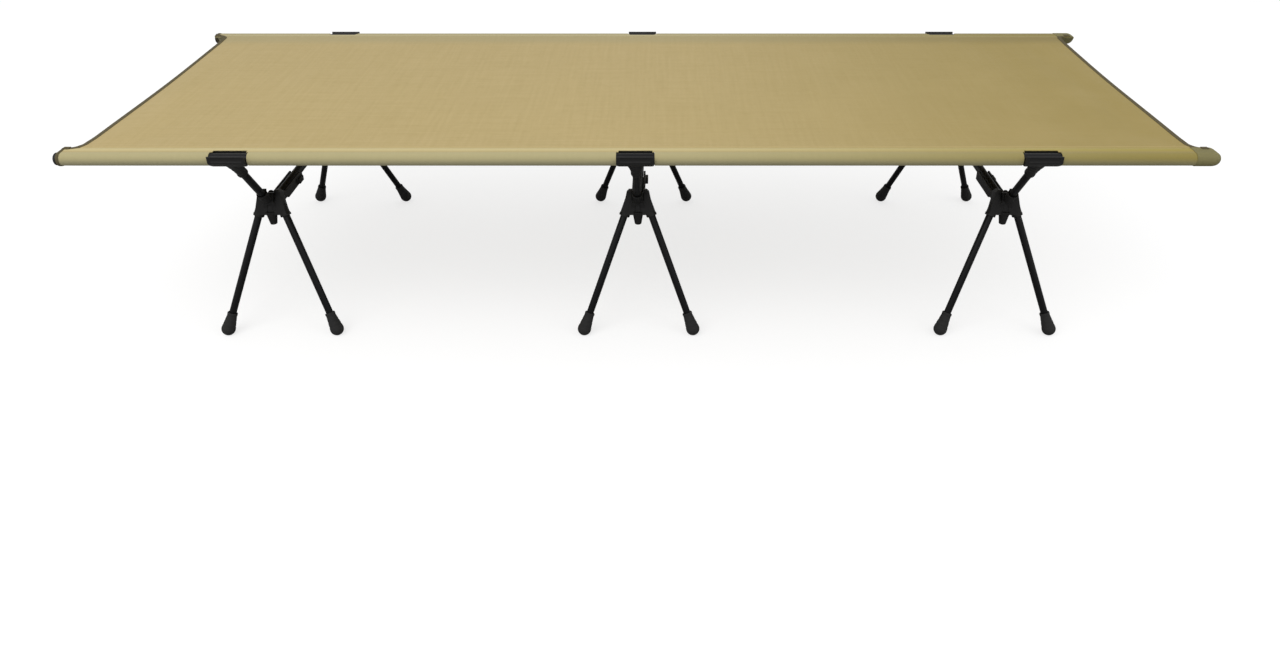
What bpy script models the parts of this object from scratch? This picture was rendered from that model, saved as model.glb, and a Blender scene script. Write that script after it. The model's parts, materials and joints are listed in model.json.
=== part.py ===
"""A take-down camping cot on twelve plug-in legs.

Two side poles lie in sleeves along the edges of a fabric bed. Three leg sets cross under the bed.
Each set has a cross pole between two hubs, and an arm that rises from each hub to a clip under a side pole.
The front arm of each set is a tension lever: it turns on a pin through the cross pole, and its handle
closes up against the cross pole from below. Each hub holds two legs with rubber feet.

X runs along the cot, the front is at -Y and the floor is at Z = 0. A leg set's pieces are drawn for the
front side, where +Y points inboard. The back side is the same drawing turned half round.
"""

import math

import bmesh
import bpy
from mathutils import Matrix, Vector

# The whole cot, in metres
COT_LENGTH = 1.900
RAIL_SPACING = 0.658
RAIL_HEIGHT = 0.373
LEG_SET_INSET = 0.293
CLEARANCE = 0.0003

# Side poles
POLE_RADIUS = 0.0095
POLE_WALL = 0.0012
SPIGOT_LENGTH = 0.045
CAP_HEAD_LENGTH = 0.0097
CAP_HEAD_RADIUS = 0.0105
CAP_PLUG_LENGTH = 0.015
CAP_EDGE = 0.003

# Bed fabric
FABRIC = 0.0012
SEAM_INSET = 0.020
SEAM_ALLOWANCE = 0.001
HEM_INSET = 0.045
HEM_FLARE_RADIUS = 0.027
NOSE_LENGTH = 0.010
NOSE_WALL = 0.001
NOSE_STEP = 0.0005
WINDOW_MARGIN = 0.002
WINDOW_INSET = 0.0185

# Rail clips
CLIP_LENGTH = 0.063
CLIP_OUTER_FACE = 0.0170
CLIP_INNER_FACE = 0.0160
CLIP_TOP = 0.0105
CLIP_BOTTOM = 0.0130
CLIP_MOUTH = 0.001
CLIP_OUTER_FOOT = 0.0015
CLIP_CORNER = 0.002
CLIP_LEAN = math.radians(23)
STEM_RADIUS = 0.0085
STEM_LENGTH = 0.052
STEM_SOCKET_DEPTH = 0.022
FLARE_START = 0.010
FLARE_END = 0.046
FLARE_RADIUS = 0.018

# Cross poles and arms
CROSS_RADIUS = 0.008
CROSS_WALL = 0.0012
CROSS_END = 0.0065
ARM_RADIUS = 0.0065
ARM_WALL = 0.0012
ARM_START = 0.026

# Hubs
HUB_INSET = 0.115
HUB_DROP = 0.139
HUB_THICKNESS = 0.017
HUB_TOP = 0.0275
HUB_TOP_WIDTH = 0.040
HUB_SHOULDER = 0.004
HUB_BOTTOM = 0.018
HUB_BOTTOM_WIDTH = 0.058
COLLAR_RADIUS = 0.012
COLLAR_INBOARD = 0.0125
COLLAR_OUTBOARD = 0.0095
BACK_COLLAR_INBOARD = 0.038
NOTCH_WIDTH = 0.0192
NOTCH_FLOOR = 0.0102
STUB_TOP_RADIUS = 0.011
STUB_RADIUS = 0.0085
STUB_BOTTOM = 0.035
STUB_OUTBOARD = 0.006
SOCKET_RADIUS = 0.009
SOCKET_OFFSET = 0.0175
SOCKET_ABOVE = 0.018
SOCKET_BELOW = 0.0215
SOCKET_DEPTH = 0.0283

# Tension levers and their pins
PIVOT_INSET = 0.028
LEVER_WIDTH = 0.024
KNUCKLE_RADIUS = 0.014
NECK_RISE = 0.017
NECK_REACH = 0.010
NECK_HEIGHT = 0.018
NECK_OFFSET = 0.001
NECK_SOCKET_START = 0.020
NECK_SOCKET_END = 0.046
HANDLE_LENGTH = 0.107
HANDLE_TOP = 0.005
HANDLE_FLOOR = 0.0038
LEVER_FOLD = math.radians(90)
FOLD_STEPS = 6
GRIP_LENGTH = 0.020
GRIP_FROM_END = 0.009
GRIP_DEPTH = 0.005
GRIP_HEIGHT = 0.010
PIN_RADIUS = 0.0025
PIN_HEAD_RADIUS = 0.0045
PIN_HEAD = 0.002

# Legs and feet
LEG_RADIUS = 0.0064
LEG_WALL = 0.0010
FOOT_INSET = 0.049
FOOT_SPREAD = 0.100
FOOT_CENTRE_HEIGHT = 0.0113
FOOT_TIP_RADIUS = 0.0124
FOOT_TOP_RADIUS = 0.0079
FOOT_LENGTH = 0.033
FOOT_SOLID = 0.008

# Facets
ROUND = 16
SMALL_ROUND = 14
BIG_ROUND = 20
TIP_STEPS = 4
NOSE_RINGS = 6

# Where things are, for the front side of a set that stands at X = 0
RAIL = Vector((0, -RAIL_SPACING / 2, RAIL_HEIGHT))
HUB = RAIL + Vector((0, HUB_INSET, -HUB_DROP))
PIVOT = HUB + Vector((0, PIVOT_INSET, 0))
ARM_WAY = (RAIL - HUB).normalized()
STEM_WAY = -ARM_WAY
OUTER_SET = COT_LENGTH / 2 - LEG_SET_INSET
LEG_SETS = {"left": -OUTER_SET, "middle": 0.0, "right": OUTER_SET}
SIDES = {"front": 0.0, "back": math.pi}
LEGS = {"1": -1, "2": 1}

POLE_BORE = POLE_RADIUS + CLEARANCE
SLEEVE_RADIUS = POLE_BORE + FABRIC
SLEEVE_END = COT_LENGTH / 2 - NOSE_LENGTH
CROSS_BORE = CROSS_RADIUS + CLEARANCE
ARM_BORE = ARM_RADIUS + CLEARANCE
LEG_BORE = LEG_RADIUS + CLEARANCE
PIN_BORE = PIN_RADIUS + CLEARANCE

LENGTHWISE = Matrix(((0, 0, 1, 0), (1, 0, 0, 0), (0, 1, 0, 0), (0, 0, 0, 1)))


def clear_scene():
    for thing in list(bpy.data.objects):
        bpy.data.objects.remove(thing)


def new_collection(name):
    group = bpy.data.collections.new(name)
    bpy.context.scene.collection.children.link(group)
    return group


def new_material(name, colour, roughness, metallic):
    look = bpy.data.materials.new(name)
    look.use_nodes = True
    shader = look.node_tree.nodes["Principled BSDF"]
    shader.inputs["Base Color"].default_value = (*colour, 1)
    shader.inputs["Roughness"].default_value = roughness
    shader.inputs["Metallic"].default_value = metallic
    return look


def along(start, way):
    """The place of a piece drawn along its own Z, put at start and pointed along way."""
    return Matrix.Translation(start) @ way.to_track_quat("Z", "Y").to_matrix().to_4x4()


def evaluated_mesh(piece):
    bpy.context.view_layer.update()
    return bpy.data.meshes.new_from_object(piece.evaluated_get(bpy.context.evaluated_depsgraph_get()))


def helper(name, data, place):
    """A shape to join or cut with. It isn't a piece of the cot."""
    shape = bpy.data.objects.new(name, data)
    shape.matrix_world = place
    shape.hide_render = True
    shape.display_type = "WIRE"
    CUTTERS.objects.link(shape)
    return shape


def box(name, size, place):
    shape = bmesh.new()
    bmesh.ops.create_cube(shape, size=1, matrix=Matrix.Diagonal((*size, 1)))
    mesh = bpy.data.meshes.new(name)
    shape.to_mesh(mesh)
    shape.free()
    return helper(name, mesh, place)


def rod(name, start, end, radius, end_radius=None, segments=ROUND, squash=1.0):
    """A round rod or cone from start to end. Squash flattens it in the YZ plane."""
    run = end - start
    shape = bmesh.new()
    bmesh.ops.create_cone(
        shape,
        cap_ends=True,
        segments=segments,
        radius1=radius,
        radius2=radius if end_radius is None else end_radius,
        depth=run.length,
        matrix=Matrix.Diagonal((1, squash, 1, 1)),
    )
    mesh = bpy.data.meshes.new(name)
    shape.to_mesh(mesh)
    shape.free()
    return helper(name, mesh, along((start + end) / 2, run))


def prism(name, outline, thickness, place):
    """A flat outline in its own XY plane, made thick to both sides of that plane."""
    curve = bpy.data.curves.new(name, "CURVE")
    curve.dimensions = "2D"
    curve.fill_mode = "BOTH"
    curve.extrude = thickness / 2
    spline = curve.splines.new("POLY")
    spline.points.add(len(outline) - 1)
    for point, (across, up) in zip(spline.points, outline):
        point.co = (across, up, 0, 1)
    spline.use_cyclic_u = True
    drawing = helper(name, curve, Matrix())
    mesh = evaluated_mesh(drawing)
    bpy.data.objects.remove(drawing)
    shape = bmesh.new()
    shape.from_mesh(mesh)
    bmesh.ops.remove_doubles(shape, verts=shape.verts, dist=0.00001)
    bmesh.ops.recalc_face_normals(shape, faces=shape.faces)
    shape.to_mesh(mesh)
    shape.free()
    return helper(name, mesh, place)


def carved(base, joins=(), cuts=()):
    """The mesh of base in world space, with the joins added and then the cuts taken away."""
    for operation, tools in (("UNION", joins), ("DIFFERENCE", cuts)):
        for tool in tools:
            step = base.modifiers.new(tool.name, "BOOLEAN")
            step.operation = operation
            step.object = tool
    mesh = evaluated_mesh(base)
    mesh.transform(base.matrix_world)
    for shape in (base, *joins, *cuts):
        bpy.data.objects.remove(shape)
    mesh.shade_smooth()
    mesh.set_sharp_from_angle(angle=math.radians(35))
    return mesh


def profile_mesh(name, profile, closed):
    """A profile of (radius, height) points at +X, for a Screw modifier to turn."""
    count = len(profile)
    edges = [(i, i + 1) for i in range(count - 1)]
    if closed:
        edges.append((count - 1, 0))
    mesh = bpy.data.meshes.new(name)
    mesh.from_pydata([(radius, 0, height) for radius, height in profile], edges, [])
    return mesh


def add_piece(name, mesh, place, parent, look):
    """One sub-part, kept where place puts it under a parent that may itself be anywhere."""
    piece = bpy.data.objects.new(name, mesh)
    COT.objects.link(piece)
    piece.matrix_world = place
    piece.parent = parent
    piece.matrix_parent_inverse = parent.matrix_world.inverted()
    if not mesh.materials:
        mesh.materials.append(look)
    return piece


def add_turned(name, mesh, place, parent, look, segments):
    piece = add_piece(name, mesh, place, parent, look)
    screw = piece.modifiers.new("Turn", "SCREW")
    screw.steps = segments
    screw.render_steps = segments
    screw.use_merge_vertices = True
    screw.merge_threshold = 0.00001
    screw.use_smooth_shade = True
    return piece


def add_pivot(name, place, parent=None):
    pivot = bpy.data.objects.new(name, None)
    pivot.empty_display_size = 0.03
    COT.objects.link(pivot)
    pivot.matrix_world = place
    if parent:
        pivot.parent = parent
        pivot.matrix_parent_inverse = parent.matrix_world.inverted()
    bpy.context.view_layer.update()
    return pivot


def arc(centre, radius, start, end, steps):
    """Points on an arc from one angle to another, in degrees, with both ends."""
    angles = [math.radians(start + (end - start) * i / steps) for i in range(steps + 1)]
    return [(centre[0] + radius * math.cos(a), centre[1] + radius * math.sin(a)) for a in angles]


def tube_profile(length, radius, wall):
    """A plain tube from height 0 to length, its outer side first."""
    inner = radius - wall
    return [(radius, length), (radius, 0), (inner, 0), (inner, length)]


# Bed fabric


def sleeve_outline():
    """The bed's cross-section in (Y, Z): a flat panel that runs over both poles and back to a seam."""
    rail = RAIL_SPACING / 2
    seam = Vector((SEAM_INSET, POLE_BORE))
    seam_angle = math.atan2(seam.y, seam.x)
    touch = math.degrees(seam_angle - math.acos(SLEEVE_RADIUS / seam.length))
    front = arc((-rail, 0), SLEEVE_RADIUS, 90, 360 + touch, BIG_ROUND)
    front.append((seam.x - rail, seam.y))
    back = [(-across, up) for across, up in reversed(front)]
    return [(across, up + RAIL_HEIGHT) for across, up in front + back]


def hem_outline(end):
    """What is cut from between the sleeves at one end, seen from above, with a flare beside each sleeve."""
    hem = COT_LENGTH / 2 - HEM_INSET
    edge = RAIL_SPACING / 2 - SEAM_INSET - SEAM_ALLOWANCE
    flare = (hem + HEM_FLARE_RADIUS, edge - HEM_FLARE_RADIUS)
    half = arc(flare, HEM_FLARE_RADIUS, 90, 180, 8)
    outline = [(COT_LENGTH, edge), *half]
    outline += [(length, -across) for length, across in reversed(outline)]
    return [(end * length, across) for length, across in outline]


def window_cutters(side, turn):
    """Gaps in one sleeve, out from its seam, where the clips grip the bare pole and turn about it."""
    length = CLIP_LENGTH + 2 * WINDOW_MARGIN
    reach = 2 * SLEEVE_RADIUS
    outline = [(-reach, -reach), (WINDOW_INSET, -reach), (WINDOW_INSET, reach), (-reach, reach)]
    cuts = []
    for set_name, set_x in LEG_SETS.items():
        place = Matrix.Translation((set_x, 0, 0)) @ Matrix.Rotation(turn, 4, "Z") @ Matrix.Translation(RAIL)
        cuts.append(prism(f"window_{side}_{set_name}", outline, length, place @ LENGTHWISE))
    return cuts


def add_bed_fabric(parent, look):
    bed = prism("bed_section", sleeve_outline(), 2 * SLEEVE_END, LENGTHWISE)
    noses = []
    cuts = []
    for side, turn in SIDES.items():
        across = -math.cos(turn) * RAIL_SPACING / 2
        mouth = Vector((-COT_LENGTH, across, RAIL_HEIGHT))
        pocket = Vector((SLEEVE_END - NOSE_WALL, across, RAIL_HEIGHT))
        cuts.append(rod(f"pole_bore_{side}", mouth, pocket, POLE_BORE, segments=BIG_ROUND))
        cuts += window_cutters(side, turn)
        nose = bmesh.new()
        radius = SLEEVE_RADIUS - NOSE_STEP
        bmesh.ops.create_uvsphere(nose, u_segments=NOSE_RINGS * 2, v_segments=NOSE_RINGS, radius=radius)
        mesh = bpy.data.meshes.new("nose")
        nose.to_mesh(mesh)
        nose.free()
        middle = Vector((SLEEVE_END - NOSE_WALL / 2, across, RAIL_HEIGHT))
        stretch = Matrix.Diagonal(((NOSE_LENGTH + NOSE_WALL / 2) / radius, 1, 1, 1))
        noses.append(helper(f"nose_{side}", mesh, Matrix.Translation(middle) @ stretch))
    above = Matrix.Translation((0, 0, RAIL_HEIGHT))
    for end in (-1, 1):
        cuts.append(prism(f"hem_cut_{end}", hem_outline(end), 4 * SLEEVE_RADIUS, above))
    mesh = carved(bed, joins=noses, cuts=cuts)
    add_piece("bed_fabric", mesh, Matrix(), parent, look)


# Side poles


def spigot_profile(length):
    """A tube with one end drawn down to a neck that plugs into the next tube."""
    neck = POLE_RADIUS - POLE_WALL - CLEARANCE
    inner = POLE_RADIUS - POLE_WALL
    tip = length + SPIGOT_LENGTH
    outside = [(neck, tip), (neck, length), (POLE_RADIUS, length), (POLE_RADIUS, 0)]
    narrow = neck - POLE_WALL
    inside = [(inner, 0), (inner, length - 2 * POLE_WALL), (narrow, length), (narrow, tip)]
    return outside + inside


def cap_profile():
    """A round cap with a plug below it, from the middle of its face outwards and down."""
    plug = POLE_RADIUS - POLE_WALL - CLEARANCE
    edge = CAP_HEAD_RADIUS - CAP_EDGE
    rounded = arc((edge, CAP_HEAD_LENGTH - CAP_EDGE), CAP_EDGE, 90, 0, 3)
    head = [(0, CAP_HEAD_LENGTH), *rounded, (CAP_HEAD_RADIUS, 0)]
    return [*head, (plug, 0), (plug, -CAP_PLUG_LENGTH), (0, -CAP_PLUG_LENGTH)]


def add_side_pole(side, turn, parent, looks):
    """Three tubes that plug together, with a cap on the end at the open mouth of the sleeve."""
    across = -math.cos(turn) * RAIL_SPACING / 2
    first = -SLEEVE_END
    last = SLEEVE_END - NOSE_WALL - CLEARANCE
    section = (last - first - 2 * CLEARANCE) / 3
    for number, name in enumerate(("left", "middle", "right")):
        start = Vector((first + number * (section + CLEARANCE), across, RAIL_HEIGHT))
        plain = name == "right"
        profile = tube_profile(section, POLE_RADIUS, POLE_WALL) if plain else spigot_profile(section)
        mesh = profile_mesh("pole_section", profile, closed=True)
        place = along(start, Vector((1, 0, 0)))
        add_turned(f"{side}_pole_{name}_tube", mesh, place, parent, looks["tube"], BIG_ROUND)
    cap_seat = Vector((first - CLEARANCE, across, RAIL_HEIGHT))
    mesh = profile_mesh("pole_cap", cap_profile(), closed=False)
    place = along(cap_seat, Vector((-1, 0, 0)))
    add_turned(f"{side}_pole_end_cap", mesh, place, parent, looks["moulding"], BIG_ROUND)


# Rail clips and arms


def clip_outline():
    """The clip's section in (Y, Z) about the rail, before the pole's cradle is cut out of it.

    The pole lies in a groove between two walls. The outer wall leans away on a tangent to the pole, so that
    the pole can swing up and out.
    """
    wall_top = -POLE_BORE / math.cos(CLIP_LEAN) - CLIP_TOP * math.tan(CLIP_LEAN)
    wall_foot = (-POLE_BORE * math.cos(CLIP_LEAN), -POLE_BORE * math.sin(CLIP_LEAN))
    groove = POLE_BORE + CLEARANCE
    return [
        (wall_top, CLIP_TOP),
        (-CLIP_OUTER_FACE, CLIP_TOP),
        (-CLIP_OUTER_FACE, -CLIP_OUTER_FOOT),
        (-CLIP_BOTTOM, -CLIP_BOTTOM / 2),
        (-CLIP_BOTTOM / 2, -CLIP_BOTTOM + CLIP_OUTER_FOOT),
        (0, -CLIP_BOTTOM),
        (CLIP_INNER_FACE / 2, -CLIP_BOTTOM),
        (CLIP_INNER_FACE, -CLIP_BOTTOM / 2),
        (CLIP_INNER_FACE, CLIP_TOP - CLIP_CORNER),
        (CLIP_INNER_FACE - CLIP_CORNER, CLIP_TOP),
        (groove + CLIP_MOUTH, CLIP_TOP),
        (groove, 0),
        (0, 0),
        wall_foot,
    ]


def clip_mesh():
    clip = prism("clip_section", clip_outline(), CLIP_LENGTH, Matrix.Translation(RAIL) @ LENGTHWISE)
    reach = Vector((CLIP_LENGTH, 0, 0))
    stem = rod("clip_stem", RAIL + STEM_WAY * POLE_RADIUS / 5, RAIL + STEM_WAY * STEM_LENGTH, STEM_RADIUS)
    flare = rod(
        "clip_flare",
        RAIL + STEM_WAY * FLARE_START,
        RAIL + STEM_WAY * FLARE_END,
        FLARE_RADIUS,
        STEM_RADIUS - CLEARANCE,
        squash=STEM_RADIUS / FLARE_RADIUS,
    )
    cradle = rod("clip_cradle", RAIL - reach, RAIL + reach, POLE_BORE, segments=BIG_ROUND)
    socket_end = RAIL + STEM_WAY * (STEM_LENGTH - STEM_SOCKET_DEPTH)
    beyond = RAIL + STEM_WAY * 2 * STEM_LENGTH
    socket = rod("clip_socket", socket_end, beyond, ARM_BORE, segments=SMALL_ROUND)
    return carved(clip, joins=[stem, flare], cuts=[cradle, socket])


def arm_ends():
    """Where an arm starts over the hub and where it ends in the clip's stem."""
    start = HUB + ARM_WAY * ARM_START
    end = RAIL + STEM_WAY * (STEM_LENGTH - STEM_SOCKET_DEPTH + CLEARANCE)
    return start, end


# Hubs


def leg_root(lean):
    """Where a leg's axis passes the height of the hub's middle. Lean is -1 or 1 along the cot."""
    return HUB + Vector((lean * SOCKET_OFFSET, 0, 0))


def leg_run(lean):
    """From a leg's root to the middle of its foot's round tip."""
    foot = Vector((lean * FOOT_SPREAD, FOOT_INSET - RAIL_SPACING / 2, FOOT_CENTRE_HEIGHT))
    return foot - leg_root(lean)


def plate_place():
    """The hub plate's plane holds both legs, so it leans outboard going down."""
    run = leg_run(1)
    tilt = math.atan2(-run.y, -run.z)
    return Matrix.Translation(HUB) @ Matrix.Rotation(math.pi / 2 - tilt, 4, "X")


def hub_plate_outline():
    top = HUB_TOP_WIDTH / 2
    right = [
        (HUB_BOTTOM_WIDTH / 2, -HUB_BOTTOM),
        (top, HUB_TOP - HUB_SHOULDER),
        (top - HUB_SHOULDER, HUB_TOP),
    ]
    return right + [(-across, up) for across, up in reversed(right)]


def hub_mesh(side):
    """A plate with two leg sockets, a collar round the cross pole and a stub to stand on without legs.

    The front hub has a notch where the lever's neck rests. The back hub holds its arm in a socket.
    """
    plate = prism(f"{side}_hub_plate", hub_plate_outline(), HUB_THICKNESS, plate_place())
    inboard = COLLAR_INBOARD if side == "front" else BACK_COLLAR_INBOARD
    collar_start = HUB - Vector((0, COLLAR_OUTBOARD, 0))
    stub_middle = HUB - Vector((0, STUB_OUTBOARD, 0))
    stub_top = stub_middle - Vector((0, 0, HUB_BOTTOM / 2))
    stub_foot = stub_middle - Vector((0, 0, STUB_BOTTOM))
    bore_end = HUB - Vector((0, CROSS_END + CLEARANCE, 0))
    joins = [
        rod("collar", collar_start, HUB + Vector((0, inboard, 0)), COLLAR_RADIUS),
        rod("stub", stub_top, stub_foot, STUB_TOP_RADIUS, STUB_RADIUS),
    ]
    cuts = [rod("cross_bore", bore_end, HUB + Vector((0, 2 * BACK_COLLAR_INBOARD, 0)), CROSS_BORE)]
    for lean in LEGS.values():
        root = leg_root(lean)
        way = leg_run(lean).normalized()
        joins.append(rod("socket", root - way * SOCKET_ABOVE, root + way * SOCKET_BELOW, SOCKET_RADIUS))
        bore_top = root + way * (SOCKET_BELOW - SOCKET_DEPTH)
        beyond = root + way * 2 * SOCKET_BELOW
        cuts.append(rod("leg_bore", bore_top, beyond, LEG_BORE, segments=SMALL_ROUND))
    if side == "front":
        height = HUB_TOP
        middle = HUB + Vector((0, 0, NOTCH_FLOOR + height / 2))
        cuts.append(box("notch", (NOTCH_WIDTH, 4 * HUB_THICKNESS, height), Matrix.Translation(middle)))
    else:
        joins.append(arm_socket(HUB))
        cuts.append(arm_bore())
    return carved(plate, joins=joins, cuts=cuts)


def arm_socket(start):
    return rod("arm_socket", start, HUB + ARM_WAY * NECK_SOCKET_END, SOCKET_RADIUS)


def arm_bore():
    start = HUB + ARM_WAY * (ARM_START - CLEARANCE)
    return rod("arm_bore", start, HUB + ARM_WAY * 2 * NECK_SOCKET_END, ARM_BORE, segments=SMALL_ROUND)


# Tension levers


def pole_sweep():
    """The space that the cross pole takes up in the lever's eyes while the lever folds."""
    reach = 2 * HANDLE_LENGTH
    size = (2 * CROSS_BORE, reach + 2 * PIVOT_INSET, 2 * CROSS_BORE)
    middle = Matrix.Translation((0, reach / 2 - PIVOT_INSET, 0))
    cuts = []
    for step in range(FOLD_STEPS + 1):
        turn = Matrix.Rotation(LEVER_FOLD * step / FOLD_STEPS, 4, "X")
        cuts.append(box(f"pole_sweep_{step}", size, Matrix.Translation(PIVOT) @ turn @ middle))
    return cuts


def hub_clearances():
    """What the lever leaves free round the hub: under its neck, and beside both horns of the notch."""
    big = 2 * HUB_TOP
    gap = 2 * CLEARANCE
    under = HUB + Vector((0, COLLAR_INBOARD + gap - big / 2, NOTCH_FLOOR + gap - big / 2))
    cuts = [box("collar_clearance", (big, big, big), Matrix.Translation(under))]
    reach = NOTCH_WIDTH / 2 - CLEARANCE + big / 2
    outboard = (big - HUB_THICKNESS) / 2 - gap
    for side in (-1, 1):
        beside = Matrix.Translation((side * reach, 0, outboard))
        cuts.append(box("horn_clearance", (big, 2 * big, big), plate_place() @ beside))
    return cuts


def lever_mesh():
    """A knuckle on the pin, a cranked neck that holds the arm, and a channel that is the handle."""
    across = Vector((LEVER_WIDTH / 2, 0, 0))
    knuckle = rod("knuckle", PIVOT - across, PIVOT + across, KNUCKLE_RADIUS)
    neck_run = Vector((0, -PIVOT_INSET - NECK_REACH, NECK_RISE))
    neck_angle = math.atan2(-neck_run.z, -neck_run.y)
    neck_place = Matrix.Translation(PIVOT + neck_run / 2) @ Matrix.Rotation(neck_angle, 4, "X")
    neck_middle = Matrix.Translation((0, 0, NECK_OFFSET))
    neck = box("neck", (LEVER_WIDTH, neck_run.length, NECK_HEIGHT), neck_place @ neck_middle)
    bottom = -CROSS_BORE - HANDLE_FLOOR
    handle_middle = PIVOT + Vector((0, HANDLE_LENGTH / 2, (HANDLE_TOP + bottom) / 2))
    handle_size = (LEVER_WIDTH, HANDLE_LENGTH, HANDLE_TOP - bottom)
    handle = box("handle", handle_size, Matrix.Translation(handle_middle))
    grip_along = HANDLE_LENGTH - GRIP_FROM_END - GRIP_LENGTH / 2
    grip_middle = PIVOT + Vector((LEVER_WIDTH / 2, grip_along, bottom / 3))
    grip = box("grip", (2 * GRIP_DEPTH, GRIP_LENGTH, GRIP_HEIGHT), Matrix.Translation(grip_middle))
    pin_hole = rod("pin_hole", PIVOT - 2 * across, PIVOT + 2 * across, PIN_BORE, segments=SMALL_ROUND)
    cuts = [*pole_sweep(), *hub_clearances(), arm_bore(), pin_hole]
    socket = arm_socket(HUB + ARM_WAY * NECK_SOCKET_START)
    return carved(knuckle, joins=[neck, handle, grip, socket], cuts=cuts)


def pin_profile():
    """A rivet with a head at each end, from the middle of its top down."""
    length = LEVER_WIDTH + 2 * CLEARANCE + 2 * PIN_HEAD
    return [
        (0, length),
        (PIN_HEAD_RADIUS, length),
        (PIN_HEAD_RADIUS, length - PIN_HEAD),
        (PIN_RADIUS, length - PIN_HEAD),
        (PIN_RADIUS, PIN_HEAD),
        (PIN_HEAD_RADIUS, PIN_HEAD),
        (PIN_HEAD_RADIUS, 0),
        (0, 0),
    ]


def cross_pole_mesh():
    end = HUB - Vector((0, CROSS_END, 0))
    other = Vector((end.x, -end.y, end.z))
    beyond = (other - end) * 0.1
    across = Vector((LEVER_WIDTH, 0, 0))
    tube = rod("cross_tube", end, other, CROSS_RADIUS)
    inside = rod("cross_inside", end - beyond, other + beyond, CROSS_RADIUS - CROSS_WALL)
    pin_hole = rod("pin_hole", PIVOT - across, PIVOT + across, PIN_BORE, segments=SMALL_ROUND)
    return carved(tube, cuts=[inside, pin_hole])


# Legs and feet


def foot_profile():
    """A rubber foot, drawn up its leg: a blind bore, then its outer side down to the round tip."""
    bore = [(0, FOOT_SOLID), (LEG_BORE, FOOT_SOLID), (LEG_BORE, FOOT_LENGTH)]
    tip = arc((0, 0), FOOT_TIP_RADIUS, 12, -90, TIP_STEPS)
    return [*bore, (FOOT_TOP_RADIUS, FOOT_LENGTH), *tip]


def add_leg(name, foot_name, turned, lean, parent, looks, floor):
    root = leg_root(lean)
    run = leg_run(lean)
    way = run.normalized()
    top = SOCKET_BELOW - SOCKET_DEPTH + CLEARANCE
    length = run.length - FOOT_SOLID - CLEARANCE - top
    tube = profile_mesh("leg_tube", tube_profile(length, LEG_RADIUS, LEG_WALL), closed=True)
    add_turned(name, tube, turned @ along(root + way * top, way), parent, looks["tube"], SMALL_ROUND)
    rubber = profile_mesh("leg_foot", foot_profile(), closed=False)
    foot = add_turned(foot_name, rubber, turned @ along(root + run, -way), parent, looks["rubber"], ROUND)
    flat = foot.modifiers.new("Flat", "BOOLEAN")
    flat.operation = "DIFFERENCE"
    flat.object = floor


# Assembly


def add_leg_set(set_name, set_x, parent, shared, looks, floor):
    """One cross pole with all that stands on it. The lever's pieces hang on an empty at its pin."""
    here = Matrix.Translation((set_x, 0, 0))
    add_piece(f"{set_name}_cross_pole", shared["cross_pole"], here, parent, looks["tube"])
    pin_start = PIVOT - Vector((LEVER_WIDTH / 2 + CLEARANCE + PIN_HEAD, 0, 0))
    pin = profile_mesh("hinge_pin", pin_profile(), closed=False)
    pin_place = here @ along(pin_start, Vector((1, 0, 0)))
    add_turned(f"{set_name}_hinge_pin", pin, pin_place, parent, looks["steel"], SMALL_ROUND)
    lever = add_pivot(f"{set_name}_lever_pivot", here @ Matrix.Translation(PIVOT), parent)
    add_piece(f"{set_name}_tension_lever", shared["lever"], here, lever, looks["moulding"])
    for side, turn in SIDES.items():
        turned = here @ Matrix.Rotation(turn, 4, "Z")
        arm_parent = lever if side == "front" else parent
        add_piece(f"{set_name}_{side}_hub", shared[f"{side}_hub"], turned, parent, looks["moulding"])
        add_piece(f"{set_name}_{side}_clip", shared["clip"], turned, arm_parent, looks["moulding"])
        start, end = arm_ends()
        arm = profile_mesh("arm", tube_profile((end - start).length, ARM_RADIUS, ARM_WALL), closed=True)
        arm_place = turned @ along(start, ARM_WAY)
        add_turned(f"{set_name}_{side}_arm", arm, arm_place, arm_parent, looks["tube"], SMALL_ROUND)
        for number, lean in LEGS.items():
            leg = f"{set_name}_{side}_leg_{number}"
            foot = f"{set_name}_{side}_foot_{number}"
            add_leg(leg, foot, turned, lean, parent, looks, floor)


def main():
    looks = {
        "fabric": new_material("tan_fabric", (0.46, 0.37, 0.17), 0.85, 0.0),
        "tube": new_material("black_tube", (0.012, 0.012, 0.013), 0.35, 0.6),
        "moulding": new_material("black_moulding", (0.015, 0.014, 0.014), 0.5, 0.0),
        "rubber": new_material("black_rubber", (0.012, 0.012, 0.012), 0.8, 0.0),
        "steel": new_material("dark_steel", (0.10, 0.10, 0.10), 0.35, 1.0),
    }
    floor_size = (2 * COT_LENGTH, 2 * RAIL_SPACING, RAIL_HEIGHT)
    floor = box("floor_cutter", floor_size, Matrix.Translation((0, 0, -RAIL_HEIGHT / 2)))
    shared = {
        "clip": clip_mesh(),
        "lever": lever_mesh(),
        "cross_pole": cross_pole_mesh(),
        "front_hub": hub_mesh("front"),
        "back_hub": hub_mesh("back"),
    }
    back_rail = Vector((0, RAIL_SPACING / 2, RAIL_HEIGHT))
    middle = add_pivot("middle_set_pivot", Matrix.Translation(back_rail))
    bed = add_pivot("bed_pivot", Matrix.Translation(back_rail), middle)
    add_bed_fabric(bed, looks["fabric"])
    for side, turn in SIDES.items():
        add_side_pole(side, turn, bed, looks)
    for set_name, set_x in LEG_SETS.items():
        parent = middle
        if set_name != "middle":
            axis = Matrix.Translation(back_rail + Vector((set_x, 0, 0)))
            parent = add_pivot(f"{set_name}_set_pivot", axis, bed)
        add_leg_set(set_name, set_x, parent, shared, looks, floor)


clear_scene()
COT = new_collection("camping_cot")
CUTTERS = new_collection("cutters")
main()
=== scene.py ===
"""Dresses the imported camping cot: cloth, seams, tubes, mouldings and feet, and a plain studio round it."""

import json
import math

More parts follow.
